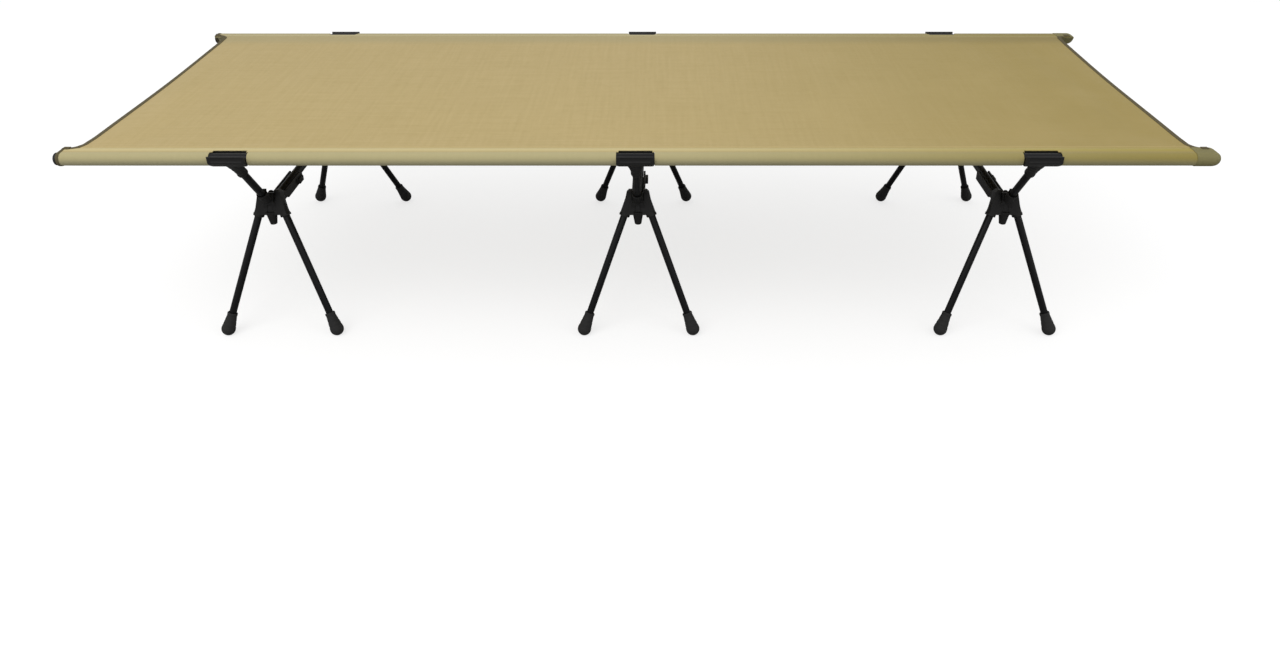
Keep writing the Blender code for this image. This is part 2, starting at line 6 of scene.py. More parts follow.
import bmesh
import bpy
import numpy as np
from mathutils import Matrix, Vector


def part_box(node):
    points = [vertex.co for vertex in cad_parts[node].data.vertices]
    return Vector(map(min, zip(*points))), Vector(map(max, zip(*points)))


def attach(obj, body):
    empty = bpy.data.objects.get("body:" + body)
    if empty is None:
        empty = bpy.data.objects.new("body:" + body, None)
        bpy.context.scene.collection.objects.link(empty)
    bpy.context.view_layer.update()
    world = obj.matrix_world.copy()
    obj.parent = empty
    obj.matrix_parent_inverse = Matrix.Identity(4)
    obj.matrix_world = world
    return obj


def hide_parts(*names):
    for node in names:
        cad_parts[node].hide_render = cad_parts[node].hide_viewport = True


bl_info = {
    "name": "Camping cot dresser",
    "version": (1, 0, 0),
    "blender": (4, 5, 0),
    "location": "View3D > Sidebar > Cot",
    "description": "Models the cloth, tubes and mouldings of a take-down camping cot",
    "category": "Object",
}

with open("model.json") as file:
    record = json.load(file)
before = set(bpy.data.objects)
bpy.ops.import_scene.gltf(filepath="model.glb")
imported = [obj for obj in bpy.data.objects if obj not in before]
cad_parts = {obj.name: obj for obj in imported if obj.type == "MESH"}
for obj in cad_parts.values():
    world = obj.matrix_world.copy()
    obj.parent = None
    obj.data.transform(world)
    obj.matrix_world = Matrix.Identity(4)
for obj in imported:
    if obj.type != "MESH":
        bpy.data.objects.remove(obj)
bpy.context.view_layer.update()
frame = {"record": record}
BODY_OF = {
    node: body
    for body, nodes in frame["record"]["behaviour"]["bodies"].items()
    for node in nodes
}

# Where the cot's solids stand, in metres. The front is at -Y.
RAIL_Y = 0.329
RAIL_Z = 0.373
HUB_Y = -0.214
HUB_Z = 0.234
PIVOT_REACH = 0.028
RAIL = Vector((0, -RAIL_Y, RAIL_Z))
HUB = Vector((0, HUB_Y, HUB_Z))
PIVOT = Vector((0, HUB_Y + PIVOT_REACH, HUB_Z))
ARM_WAY = (RAIL - HUB).normalized()
LEG_ROOT_X = 0.0175
FOOT_X = 0.100
FOOT_Y = -0.280
FOOT_Z = 0.0113
SETS = {"left": -0.657, "middle": 0.0, "right": 0.657}
TURNS = {"front": 0.0, "back": math.pi}
SIDES = {"front": -1, "back": 1}
ENDS = {"left": -1, "right": 1}
LEGS = {"1": -1, "2": 1}

# The tubes' radii, how far past or short of a hub's, rail's or foot's centre their ends stop, and the play
# that a socket leaves at a tube's end and round it. A spigot fills the next section's bore.
POLE_RADIUS = 0.0095
SPIGOT_RADIUS = 0.0080
SPIGOT_LENGTH = 0.045
CROSS_RADIUS = 0.0080
CROSS_PAST = 0.0065
ARM_RADIUS = 0.0065
ARM_START = 0.0260
ARM_END = 0.0303
LEG_RADIUS = 0.0064
LEG_PAST = 0.0065
LEG_SHORT = 0.0083
END_GAP = 0.0003
SIDE_GAP = 0.0002

# How far the cloth reaches along X, and where it is sewn and cut, inboard of a pole's centre.
SLEEVE_END = 0.933
COT_END = 0.946
HEM_X = 0.909
FLARE = 0.016
SEAM_A = 0.020
SEAM_EDGE = 0.021
SECOND_SEAM = 0.0048
CLIP_HALF = 0.0302
WINDOW_HALF = 0.0311
WINDOW_INSET = 0.0036
WINDOW_UNDER = 0.0174
WINDOW_STEP = 0.0030
WINDOW_TOP = 0.0090

# The hub's notch and collar, the clip's top and outer face, and the lever that fits round the cross pole.
COLLAR_REACH = 0.0125
NOTCH_WIDTH = 0.0192
NOTCH_FLOOR = 0.0102
NOTCH_TALL = 0.030
PLATE_DEPTH = 0.017
CLIP_TOP = 0.0105
CLIP_FACE = 0.0168
LEVER_WIDTH = 0.024
LEVER_LENGTH = 0.107
LEVER_PLAY = 0.0006

# Turns a drawing in XY so that it faces along the cot: its first axis runs along Y and its second up.
LENGTHWISE = Matrix(((0, 0, 1, 0), (1, 0, 0, 0), (0, 1, 0, 0), (0, 0, 0, 1)))

# Painted highlight and painted shade on the sleeves, each at the bed's left end and at its right end; the
# painted shade under the pole is one colour.
SEAM_HIGHLIGHT = ((0.555, 0.475, 0.236, 1.0), (0.321, 0.260, 0.039, 1.0))
ROUND_THE_POLE_SHADE = ((0.397, 0.371, 0.211, 1.0), (0.235, 0.195, 0.050, 1.0))
BACK_EDGE_SHADE = ((0.306, 0.280, 0.153, 1.0), (0.150, 0.120, 0.030, 1.0))
UNDER_THE_POLE_SHADE = (0.300, 0.290, 0.190, 1.0)
FLOOR_DUST = (0.055, 0.050, 0.044, 1.0)

# The camera's place, its tilt in degrees and its shift, from the picture's perspective.
EYE = (0.042, -1.784, 1.011)
EYE_TILT = 29.59
EYE_SHIFT = (-0.0167, -0.0586)
LAMP_AIM = Vector((0, 0, 0.2))


# Settings


class ClothSettings(bpy.types.PropertyGroup):
    """Sizes and colours of the bed's cloth."""

    colour: bpy.props.FloatVectorProperty(
        name="Cloth", description="Colour of the bed", subtype="COLOR", size=3,
        min=0, max=1, default=(0.490, 0.375, 0.163),
    )
    # The cloth drifts to the second tone towards its right end, partly as its own tone and partly as painted
    # shade; the tone also tints the streaks, mottle, weave gaps and stitch lines.
    shade: bpy.props.FloatVectorProperty(
        name="Second tone", description="Tone that the cloth drifts to at its right end",
        subtype="COLOR", size=3, min=0, max=1, default=(0.320, 0.237, 0.055),
    )
    trim: bpy.props.FloatVectorProperty(
        name="Binding", description="Colour of the tape round the hems", subtype="COLOR",
        size=3, min=0, max=1, default=(0.120, 0.098, 0.048),
    )
    pocket: bpy.props.FloatVectorProperty(
        name="Pocket", description="Colour of the cloth that closes the sleeves' right ends",
        subtype="COLOR", size=3, min=0, max=1, default=(0.255, 0.228, 0.100),
    )
    thread: bpy.props.FloatVectorProperty(
        name="Thread", description="Colour of the seam thread", subtype="COLOR",
        size=3, min=0, max=1, default=(0.55, 0.45, 0.24),
    )
    thickness: bpy.props.FloatProperty(
        name="Thickness", description="Thickness of the cloth", unit="LENGTH",
        min=0.0004, max=0.0012, default=0.0010,
    )
    weave: bpy.props.FloatProperty(
        name="Weave", description="Distance between two threads of the weave", unit="LENGTH",
        min=0.0003, max=0.003, default=0.0008,
    )
    sag: bpy.props.FloatProperty(
        name="Sag", description="How far the middle of the bed hangs below its edges",
        unit="LENGTH", min=0, max=0.01, default=0.003,
    )
    ripple: bpy.props.FloatProperty(
        name="Ripple", description="Height of the soft ripples in the stretched cloth",
        unit="LENGTH", min=0, max=0.002, default=0.0004,
    )
    stitch: bpy.props.FloatProperty(
        name="Stitch", description="Distance from one stitch to the next", unit="LENGTH",
        min=0.002, max=0.01, default=0.0036,
    )


class HardwareSettings(bpy.types.PropertyGroup):
    """Colours and finish of the tubes, mouldings and feet."""

    tube: bpy.props.FloatVectorProperty(
        name="Tube", description="Colour of the anodised tubes", subtype="COLOR", size=3,
        min=0, max=1, default=(0.0060, 0.0060, 0.0068),
    )
    moulding: bpy.props.FloatVectorProperty(
        name="Moulding", description="Colour of the moulded clips, hubs and levers",
        subtype="COLOR", size=3, min=0, max=1, default=(0.0080, 0.0076, 0.0074),
    )
    rubber: bpy.props.FloatVectorProperty(
        name="Rubber", description="Colour of the feet", subtype="COLOR", size=3,
        min=0, max=1, default=(0.0065, 0.0065, 0.0065),
    )
    steel: bpy.props.FloatVectorProperty(
        name="Steel", description="Colour of the hinge pins", subtype="COLOR", size=3,
        min=0, max=1, default=(0.16, 0.16, 0.16),
    )
    grain: bpy.props.FloatProperty(
        name="Grain", description="Voxel size that the mouldings are blended with",
        unit="LENGTH", min=0.0003, max=0.001, default=0.00045,
    )


class StageSettings(bpy.types.PropertyGroup):
    """Floor, light and camera."""

    floor: bpy.props.FloatVectorProperty(
        name="Floor", description="Colour of the floor", subtype="COLOR", size=3,
        min=0, max=1, default=(0.95, 0.95, 0.95),
    )
    glow: bpy.props.FloatProperty(
        name="Floor glow", description="Share of the floor's brightness that shadows leave",
        min=0, max=0.9, default=0.71,
    )
    daylight: bpy.props.FloatProperty(
        name="Daylight", description="Strength of the even light from all round",
        min=0, max=2, default=0.74,
    )
    lens: bpy.props.FloatProperty(
        name="Lens", description="Focal length on a 36 mm wide sensor", unit="CAMERA",
        min=10, max=200, default=27.44,
    )


# Shader maths


class Term:
    """One socket of a finish. Arithmetic on it adds the Math nodes."""

    def __init__(self, finish, socket):
        self.finish = finish
        self.socket = socket

    def _math(self, operation, *others):
        return self.finish.maths(operation, self, *others)

    def __add__(self, other):
        return self._math("ADD", other)

    def __radd__(self, other):
        return self._math("ADD", other)

    def __sub__(self, other):
        return self._math("SUBTRACT", other)

    def __rsub__(self, other):
        return self.finish.maths("SUBTRACT", other, self)

    def __mul__(self, other):
        return self._math("MULTIPLY", other)

    def __rmul__(self, other):
        return self._math("MULTIPLY", other)

    def __truediv__(self, other):
        return self._math("DIVIDE", other)

    def __abs__(self):
        return self._math("ABSOLUTE")

    def sine(self):
        return self._math("SINE")

    def lowest(self, other):
        return self._math("MINIMUM", other)

    def highest(self, other):
        return self._math("MAXIMUM", other)

    def ramp(self, low, high):
        """0 at low and 1 at high, with soft ends."""
        settings = {"interpolation_type": "SMOOTHSTEP"}
        return self.finish.add("ShaderNodeMapRange", {"Value": self, 1: low, 2: high}, settings)


class Finish:
    """A material's node tree."""

    def __init__(self, name):
        self.material = bpy.data.materials.new(name)
        self.material.use_nodes = True
        self.tree = self.material.node_tree
        self.shader = self.tree.nodes["Principled BSDF"]

    def plug(self, value, socket):
        if isinstance(value, Term):
            self.tree.links.new(value.socket, socket)
        else:
            socket.default_value = value

    def add(self, kind, sockets=None, settings=None, output=0):
        node = self.tree.nodes.new(kind)
        for name, value in (settings or {}).items():
            setattr(node, name, value)
        for name, value in (sockets or {}).items():
            self.plug(value, node.inputs[name])
        return Term(self, node.outputs[output])

    def maths(self, operation, *values):
        sockets = dict(enumerate(values))
        return self.add("ShaderNodeMath", sockets, {"operation": operation})

    def mix(self, share, first, second):
        """A colour between two colours."""
        colours = {0: share, 6: first, 7: second}
        return self.add("ShaderNodeMix", colours, {"data_type": "RGBA"}, output=2)

    def place(self):
        return self.add("ShaderNodeTexCoord", output=3)

    def flat(self):
        """The two coordinates of the piece's own flat pattern, in metres."""
        uv = self.add("ShaderNodeUVMap", settings={"uv_map": "flat"})
        return self.split(uv)

    def split(self, vector):
        node = self.tree.nodes.new("ShaderNodeSeparateXYZ")
        self.plug(vector, node.inputs[0])
        return [Term(self, socket) for socket in node.outputs]

    def join(self, *parts):
        return self.add("ShaderNodeCombineXYZ", dict(enumerate(parts)))

    def noise(self, vector, scale, detail=3.0, roughness=0.55):
        sockets = {"Vector": vector, "Scale": scale, "Detail": detail, "Roughness": roughness}
        return self.add("ShaderNodeTexNoise", sockets)

    def relief(self, height, distance, strength=1.0):
        sockets = {"Height": height, "Distance": distance, "Strength": strength}
        self.plug(self.add("ShaderNodeBump", sockets), self.shader.inputs["Normal"])

    def set(self, **values):
        for name, value in values.items():
            self.plug(value, self.shader.inputs[name.replace("_", " ")])


def opaque(colour, gain=1.0):
    return (*(min(1.0, part * gain) for part in colour), 1.0)


def bed_cloth_finish(name, cloth, seams):
    """Plain-woven polyester. Seams are the flat pattern's heights where the sleeves are stitched."""
    finish = Finish(name)
    along, across, _ = finish.flat()
    turn = math.pi / cloth.weave
    over = (along * turn).sine() * (across * turn).sine()
    slub = finish.noise(finish.join(along * 6.0, across * 160.0, 0.0), 1.0, 2.0)
    slub_cross = finish.noise(finish.join(along * 160.0, across * 6.0, 0.0), 1.0, 2.0)
    streak = (slub + slub_cross) * 0.5
    cloud = finish.noise(finish.place(), 5.0, 4.0, 0.6)
    mottle = finish.noise(finish.place(), 70.0, 3.0, 0.6)
    # Towards its right end the cloth drifts darker and more olive, partly as its own tone and partly as
    # painted shade; the sleeve's painted light below drifts the same way.
    drift = along.ramp(-0.10, 1.0) * 0.98
    tone = finish.mix(drift, opaque(cloth.colour), opaque(cloth.shade))
    tone = finish.mix((streak - 0.30) * 0.6, tone, opaque(cloth.shade, 0.90))
    tone = finish.mix((cloud - 0.45) * 0.5, tone, opaque(cloth.colour, 1.12))
    tone = finish.mix((mottle - 0.5) * 0.45, tone, opaque(cloth.shade, 0.92))
    tone = finish.mix((0.5 - over * 0.5) * 0.22, tone, opaque(cloth.shade, 0.62))
    nearest = abs(across - seams[0]).lowest(abs(across - seams[1]))
    line = 1.0 - nearest.ramp(0.0004, 0.0016)
    # Painted highlight near the seams; the same band also puckers the cloth's relief.
    seam_pucker_and_highlight = 1.0 - nearest.ramp(0.002, 0.010)
    beyond = abs(across - (seams[0] + seams[1]) / 2) - (seams[1] - seams[0]) / 2
    # Painted highlight on the swell beside the seam.
    seam_highlight = beyond.ramp(-0.004, 0.001) * (1.0 - beyond.ramp(0.009, 0.017))
    # Painted shade where the sleeve wraps round the pole.
    round_pole_shade = beyond.ramp(0.012, 0.021)
    # Painted shade under the pole.
    under = beyond.ramp(0.030, 0.041)
    # Painted shade along the back edge of the bed.
    back = (across - seams[1]).ramp(-0.065, -0.018)
    # Painted highlight near and beside the seams, then painted shade round the pole, under it and along the
    # back edge.
    tone = finish.mix(seam_pucker_and_highlight * 0.20, tone, opaque(cloth.colour, 1.22))
    tone = finish.mix(seam_highlight * 0.75, tone, finish.mix(drift, *SEAM_HIGHLIGHT))
    tone = finish.mix(round_pole_shade * 0.70, tone, finish.mix(drift, *ROUND_THE_POLE_SHADE))
    tone = finish.mix(under * 0.45, tone, UNDER_THE_POLE_SHADE)
    tone = finish.mix(back * 0.45, tone, finish.mix(drift, *BACK_EDGE_SHADE))
    tone = finish.mix(line * 0.55, tone, opaque(cloth.shade, 0.45))
    pucker = finish.noise(finish.join(along * 95.0, across * 22.0, 0.0), 1.0, 1.0)
    height = over * 0.00005 + streak * 0.00012 + seam_pucker_and_highlight * pucker * 0.0009 - line * 0.0003
    finish.relief(height, 1.0, 0.8)
    finish.set(Base_Color=tone, Roughness=0.80 + (streak - 0.5) * 0.25 - line * 0.1)
    finish.set(Sheen_Weight=0.12, Sheen_Roughness=0.5, Specular_IOR_Level=0.25)
    return finish.material


def tape_finish(name, colour, pitch=0.0011):
    """Woven tape with a twill rib, for bindings and tabs."""
    finish = Finish(name)
    along, across, _ = finish.flat()
    turn = 2 * math.pi / pitch
    rib = ((along + across) * turn).sine() * 0.5 + 0.5
    fuzz = finish.noise(finish.place(), 900.0, 2.0)
    tone = finish.mix(rib * 0.55 + (fuzz - 0.5) * 0.3, opaque(colour, 0.62), opaque(colour, 1.30))
    finish.set(Base_Color=tone, Roughness=0.82 + (fuzz - 0.5) * 0.2, Specular_IOR_Level=0.25)
    finish.relief(rib * 0.00010 + fuzz * 0.00006, 1.0, 0.8)
    return finish.material


def thread_finish(name, colour):
    finish = Finish(name)
    twist = finish.noise(finish.place(), 1800.0, 1.0)
    tone = finish.mix(twist, opaque(colour, 0.70), opaque(colour, 1.15))
    finish.set(Base_Color=tone, Roughness=0.55 + twist * 0.2, Specular_IOR_Level=0.3)
    finish.relief(twist * 0.00008, 1.0, 0.7)
    return finish.material


def anodised_finish(name, colour):
    """Black anodised tube: a satin skin with faint drawing lines and a few rubbed places."""
    finish = Finish(name)
    round_it, along, _ = finish.split(finish.add("ShaderNodeUVMap", settings={"uv_map": "UVMap"}))
    lines = finish.noise(finish.join(round_it * 140.0, along * 2.0, 0.0), 1.0, 3.0)
    rubbed = finish.noise(finish.place(), 38.0, 5.0, 0.65).ramp(0.60, 0.76)
    dust = finish.noise(finish.place(), 520.0, 2.0)
    tone = finish.mix(lines * 0.5 + dust * 0.2, opaque(colour, 0.75), opaque(colour, 1.5))
    tone = finish.mix(rubbed * 0.25, tone, opaque(colour, 3.2))
    finish.set(Base_Color=tone, Roughness=0.42 + (lines - 0.5) * 0.22 - rubbed * 0.08)
    finish.set(Metallic=0.35, Specular_IOR_Level=0.28)
    finish.relief(lines * 0.00002 + dust * 0.00002, 1.0, 0.6)
    return finish.material


def nylon_finish(name, colour):
    """Moulded nylon: spark-eroded grain, duller hollows and edges that have rubbed a little paler."""
    finish = Finish(name)
    grain = finish.noise(finish.place(), 1500.0, 3.0, 0.6)
    flow = finish.noise(finish.place(), 60.0, 4.0)
    worn = finish.add("ShaderNodeNewGeometry", output=7).ramp(0.51, 0.60)
    tone = finish.mix(grain * 0.5 + flow * 0.3, opaque(colour, 0.7), opaque(colour, 1.5))
    tone = finish.mix(worn * 0.45, tone, opaque(colour, 3.6))
    finish.set(Base_Color=tone, Roughness=0.52 + (grain - 0.5) * 0.25 - worn * 0.08)
    finish.set(Specular_IOR_Level=0.30)
    finish.relief(grain * 0.00005 + flow * 0.00008, 1.0, 0.7)
    return finish.material


def rubber_finish(name, colour):
    finish = Finish(name)
    grain = finish.noise(finish.place(), 1100.0, 3.0, 0.6)
    _, _, up = finish.split(finish.place())
    scuff = finish.noise(finish.place(), 160.0, 4.0, 0.65)
    dusty = (1.0 - up.ramp(0.001, 0.016)) * scuff.ramp(0.35, 0.65)
    tone = finish.mix(grain * 0.6, opaque(colour, 0.7), opaque(colour, 1.6))
    tone = finish.mix(dusty * 0.35, tone, FLOOR_DUST)
    finish.set(Base_Color=tone, Roughness=0.78 + (grain - 0.5) * 0.2, Specular_IOR_Level=0.22)
    finish.relief(grain * 0.00006 + scuff * 0.00008, 1.0, 0.8)
    return finish.material


def steel_finish(name, colour):
    finish = Finish(name)
    brushed = finish.noise(finish.place(), 900.0, 2.0)
    tone = finish.mix(brushed, opaque(colour, 0.7), opaque(colour, 1.3))
    finish.set(Base_Color=tone, Roughness=0.34 + brushed * 0.15, Metallic=1.0)
    finish.relief(brushed * 0.00002, 1.0, 0.5)
    return finish.material


def finish_once(maker, name, *facts):
    """The finish with this name, made the first time that it is asked for."""
    found = bpy.data.materials.get(name)
    return found if found else maker(name, *facts)


def dark_tape(cloth):
    return finish_once(tape_finish, "dark_tape", cloth.trim)


def dark_thread(cloth):
    return finish_once(thread_finish, "dark_thread", tuple(part * 1.5 for part in cloth.trim))


# Modelling by hand


def deselect():
    if bpy.context.mode != "OBJECT":
        bpy.ops.object.mode_set(mode="OBJECT")
    bpy.ops.object.select_all(action="DESELECT")


def take(piece):
    deselect()
    piece.select_set(True)
    bpy.context.view_layer.objects.active = piece


def named(name):
    """The primitive that was just added, under its own name."""
    piece = bpy.context.object
    piece.name = name
    piece.data.name = name
    return piece


def edit(piece, faces=None):
    """Opens a piece in edit mode with only the faces selected that the test accepts."""
    take(piece)
    bpy.ops.object.mode_set(mode="EDIT")
    bpy.ops.mesh.select_mode(type="FACE")
    bpy.ops.mesh.select_all(action="DESELECT")
    if faces:
        drawing = bmesh.from_edit_mesh(piece.data)
        for face in drawing.faces:
            face.select_set(bool(faces(face)))
        bmesh.update_edit_mesh(piece.data)


def settle(piece, place=None):
    """Puts a piece's place into its mesh."""
    bpy.context.view_layer.update()
    matrix = piece.matrix_world.copy()
    piece.data.transform(place @ matrix if place else matrix)
    piece.matrix_world = Matrix()
    return piece


def modify(piece, kind, **settings):
    """Adds a modifier, sets it and applies it."""
    take(piece)
    step = piece.modifiers.new(kind.title(), kind)
    for name, value in settings.items():
        setattr(step, name, value)
    bpy.ops.object.modifier_apply(modifier=step.name)
    return piece


def soften(piece, angle=30):
    take(piece)
    bpy.ops.object.shade_smooth_by_angle(angle=math.radians(angle))
    return piece


def outward(piece):
    edit(piece)
    bpy.ops.mesh.select_all(action="SELECT")
    bpy.ops.mesh.remove_doubles(threshold=0.00001)
    bpy.ops.mesh.normals_make_consistent(inside=False)
    deselect()
    return piece


def rod(name, start, end, radius, end_radius=None, sides=32, squash=1.0):
    """A round bar or cone from start to end, which squash flattens in the YZ plane."""
    run = end - start
    deselect()
    bpy.ops.mesh.primitive_cone_add(
        vertices=sides,
        radius1=radius,
        radius2=radius if end_radius is None else end_radius,
        depth=run.length,
        location=(start + end) / 2,
        rotation=run.to_track_quat("Z", "Y").to_euler(),
    )
    bar = named(name)
    if squash != 1.0:
        bar.data.transform(Matrix.Diagonal((1, squash, 1, 1)))
    return settle(bar)


def block(name, size, place):
    deselect()
    bpy.ops.mesh.primitive_cube_add(size=1)
    brick = named(name)
    brick.data.transform(Matrix.Diagonal((*size, 1)))
    return settle(brick, place)


def slab(name, outline, thickness, place):
    """A flat outline in its own XY plane, extruded to both sides of that plane."""
    deselect()
    bpy.ops.mesh.primitive_circle_add(vertices=len(outline), radius=1, fill_type="NGON")
    plate = named(name)
    for vertex, (across, up) in zip(plate.data.vertices, outline):
        vertex.co = (across, up, -thickness / 2)
    edit(plate, faces=lambda face: True)
    bpy.ops.mesh.extrude_region_move(TRANSFORM_OT_translate={"value": (0, 0, thickness)})
    outward(plate)
    return settle(plate, place)


def turned(name, profile, place, sides=32):
    """A round piece grown from a disc: the end face is extruded to each height and resized."""
    radius, height = profile[0]
    deselect()
    bpy.ops.mesh.primitive_circle_add(
        vertices=sides, radius=radius, fill_type="NGON", location=(0, 0, height)
    )
    piece = settle(named(name))
    edit(piece, faces=lambda face: True)
    for (wide, up), (last_wide, last_up) in zip(profile[1:], profile):
        bpy.ops.mesh.extrude_region_move(TRANSFORM_OT_translate={"value": (0, 0, up - last_up)})
        grow = wide / last_wide
        bpy.ops.transform.resize(value=(grow, grow, 1), center_override=(0, 0, up))
    outward(piece)
    piece.data.transform(place)
    return piece


def along(start, way):
    """The place of a piece drawn along its own Z, put at start and pointed along way."""
    return Matrix.Translation(start) @ way.to_track_quat("Z", "Y").to_matrix().to_4x4()


def combine(piece, tools, operation):
    for tool in tools:
        modify(piece, "BOOLEAN", operation=operation, object=tool, solver="EXACT")
        bpy.data.objects.remove(tool)
    return piece


def moulded(piece, joins, cuts, voxel, faces):
    """One moulding: shapes fused and cut, blended in fine voxels so that every edge and corner is soft."""
    combine(piece, joins, "UNION")
    combine(piece, cuts, "DIFFERENCE")
    modify(piece, "REMESH", mode="VOXEL", voxel_size=voxel, adaptivity=0.0)
    modify(piece, "SMOOTH", factor=0.5, iterations=4)
    modify(piece, "DECIMATE", ratio=min(1.0, faces / max(1, len(piece.data.polygons) * 2)))
    return soften(piece, 50)


def copy_of(piece, name, place):
    """A copy with its own mesh, put in its place."""
    twin = piece.copy()
    twin.data = piece.data.copy()
    twin.name = name
    twin.data.name = name
    bpy.context.scene.collection.objects.link(twin)
    twin.data.transform(place)
    return twin


def mesh_piece(name, points, faces):
    mesh = bpy.data.meshes.new(name)
    mesh.from_pydata([tuple(point) for point in points], [], faces)
    mesh.update()
    piece = bpy.data.objects.new(name, mesh)
    bpy.context.scene.collection.objects.link(piece)
    return piece


def stand_for(piece, node, finish):
    """A new piece takes a solid's place: it rides where that rides, and the solid is hidden."""
    piece.data.materials.clear()
    piece.data.materials.append(finish)
    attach(piece, BODY_OF[node])
    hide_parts(node)


def belongs(piece, body, finish):
    piece.data.materials.clear()
    piece.data.materials.append(finish)
    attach(piece, body)


def set_place(set_x, turn=0.0):
    return Matrix.Translation((set_x, 0, 0)) @ Matrix.Rotation(turn, 4, "Z")


# The bed's flat pattern and how it lies


def stations(marks, step):
    """Places along a line that hold every mark, with even steps of about one size between."""
    places = []
    for low, high in zip(marks, marks[1:]):
        count = max(1, round((high - low) / step))
        places += [low + (high - low) * i / count for i in range(count)]
    return places + [marks[-1]]


SLEEVE_MID = 0.0104
SEAM_UNDER = 0.0089
SEAM_REACH = math.hypot(SEAM_A, SEAM_UNDER)
TOUCH = math.atan2(SEAM_UNDER, SEAM_A) - math.acos(SLEEVE_MID / SEAM_REACH)
ALLOWANCE = 0.008
SLOPE = math.sqrt(SEAM_REACH**2 - SLEEVE_MID**2)
WRAP = SLEEVE_MID * (TOUCH + 1.5 * math.pi)
TOP_START = ALLOWANCE + SLOPE + WRAP
FLAT_WIDTH = 2 * (TOP_START + RAIL_Y)


def lie(run):
    """Where the cloth passes at a distance from its front raw edge, as (inboard, up) from the front pole."""
    touch = (SLEEVE_MID * math.cos(TOUCH), SLEEVE_MID * math.sin(TOUCH))
    if run <= ALLOWANCE:
        return SEAM_A + ALLOWANCE - run, SEAM_UNDER
    if run <= ALLOWANCE + SLOPE:
        share = (run - ALLOWANCE) / SLOPE
        return SEAM_A + (touch[0] - SEAM_A) * share, SEAM_UNDER + (touch[1] - SEAM_UNDER) * share
    if run <= TOP_START:
        angle = TOUCH - (run - ALLOWANCE - SLOPE) / SLEEVE_MID
        return SLEEVE_MID * math.cos(angle), SLEEVE_MID * math.sin(angle)
    return run - TOP_START, SLEEVE_MID


def end_of(inboard):
    """How far along X the cloth reaches at a distance inboard of the pole: sleeve, flare and hem."""
    if inboard <= SEAM_EDGE:
        return SLEEVE_END
    middle = SEAM_EDGE + FLARE
    if inboard < middle:
        return HEM_X + FLARE - math.sqrt(FLARE**2 - (middle - inboard) ** 2)
    return HEM_X


def fade(value, low, high):
    """0 below low and 1 above high, with soft ends."""
    share = min(1.0, max(0.0, (value - low) / (high - low)))
    return share * share * (3 - 2 * share)


def hump(value, middle, width):
    """1 at the middle, and next to nothing two widths away from it."""
    return math.exp(-(((value - middle) / width) ** 2))


def rise(x, y, cloth):
    """How far the bed's face stands above a flat sheet: it sags, ripples and pulls towards the clips."""
    inboard = RAIL_Y - abs(y)
    panel = fade(inboard, 0.028, 0.075)
    sag = -cloth.sag * (1 - (y / RAIL_Y) ** 2) * (1 - 0.25 * abs(x) / SLEEVE_END)
    wave = math.sin(57 * x + 3.1 * y + 0.7) + 0.8 * math.sin(31 * x - 6.3 * y + 2.1)
    wave += 0.7 * math.sin(83 * x + 9.0 * y + 4.0) * math.cos(6.1 * y)
    wave += 0.6 * math.sin(17 * x + 14 * y + 1.3)
    ripple = cloth.ripple * wave * (0.45 + 0.8 * fade(abs(x), 0.55, 0.9))
    pulls = 0.0
    for clip_x in SETS.values():
        spread = 0.022 + 0.45 * inboard
        near = hump(x, clip_x, spread) * math.exp(-inboard / 0.07)
        pulls += near * math.cos((x - clip_x) / spread * 4.2)
    curl = -0.0012 * fade(abs(x), HEM_X - 0.03, HEM_X) * panel
    return panel * (sag + ripple) + 2.2 * cloth.ripple * pulls * fade(inboard, 0.024, 0.04) + curl


def seam_relief(inboard):
    """The stitched seam lies in a shallow groove between two low swells."""
    groove = hump(inboard, SEAM_A, 0.0022)
    swell = hump(inboard, SEAM_A - 0.008, 0.004) + hump(inboard, SEAM_A + 0.009, 0.004)
    return 0.00035 * swell - 0.00030 * groove


def bed_point(x, run, cloth):
    """A point of the cloth's middle layer. The back half is the front half seen in a mirror."""
    side = -1
    if run > FLAT_WIDTH / 2:
        side = 1
        run = FLAT_WIDTH - run
    inboard, up = lie(run)
    y = side * (RAIL_Y - inboard)
    if run > TOP_START:
        up += rise(x, y, cloth) + seam_relief(inboard)
    return Vector((x, y, RAIL_Z + up))


def bed_x(row, inboard):
    """A row's place in X, drawn in near the ends so that the last row follows the hem."""
    free = 0.80
    if abs(row) <= free:
        return row
    reach = free + (abs(row) - free) * (end_of(inboard) - free) / (SLEEVE_END - free)
    return math.copysign(reach, row)


def window_start():
    """Where the opening for a clip starts in the flat pattern's run, under the pole."""
    touch = SLEEVE_MID * math.cos(TOUCH)
    return ALLOWANCE + SLOPE * (SEAM_A - WINDOW_UNDER) / (SEAM_A - touch)


def is_open(row, run):
    """Whether a spot of the flat pattern lies in a clip's window, which is narrower over the pole."""
    beside = min(abs(row - clip_x) for clip_x in SETS.values())
    run = min(run, FLAT_WIDTH - run)
    if beside > WINDOW_HALF or run < window_start():
        return False
    if run < TOP_START + WINDOW_STEP:
        return True
    return run < TOP_START + WINDOW_TOP and beside < WINDOW_HALF - WINDOW_INSET


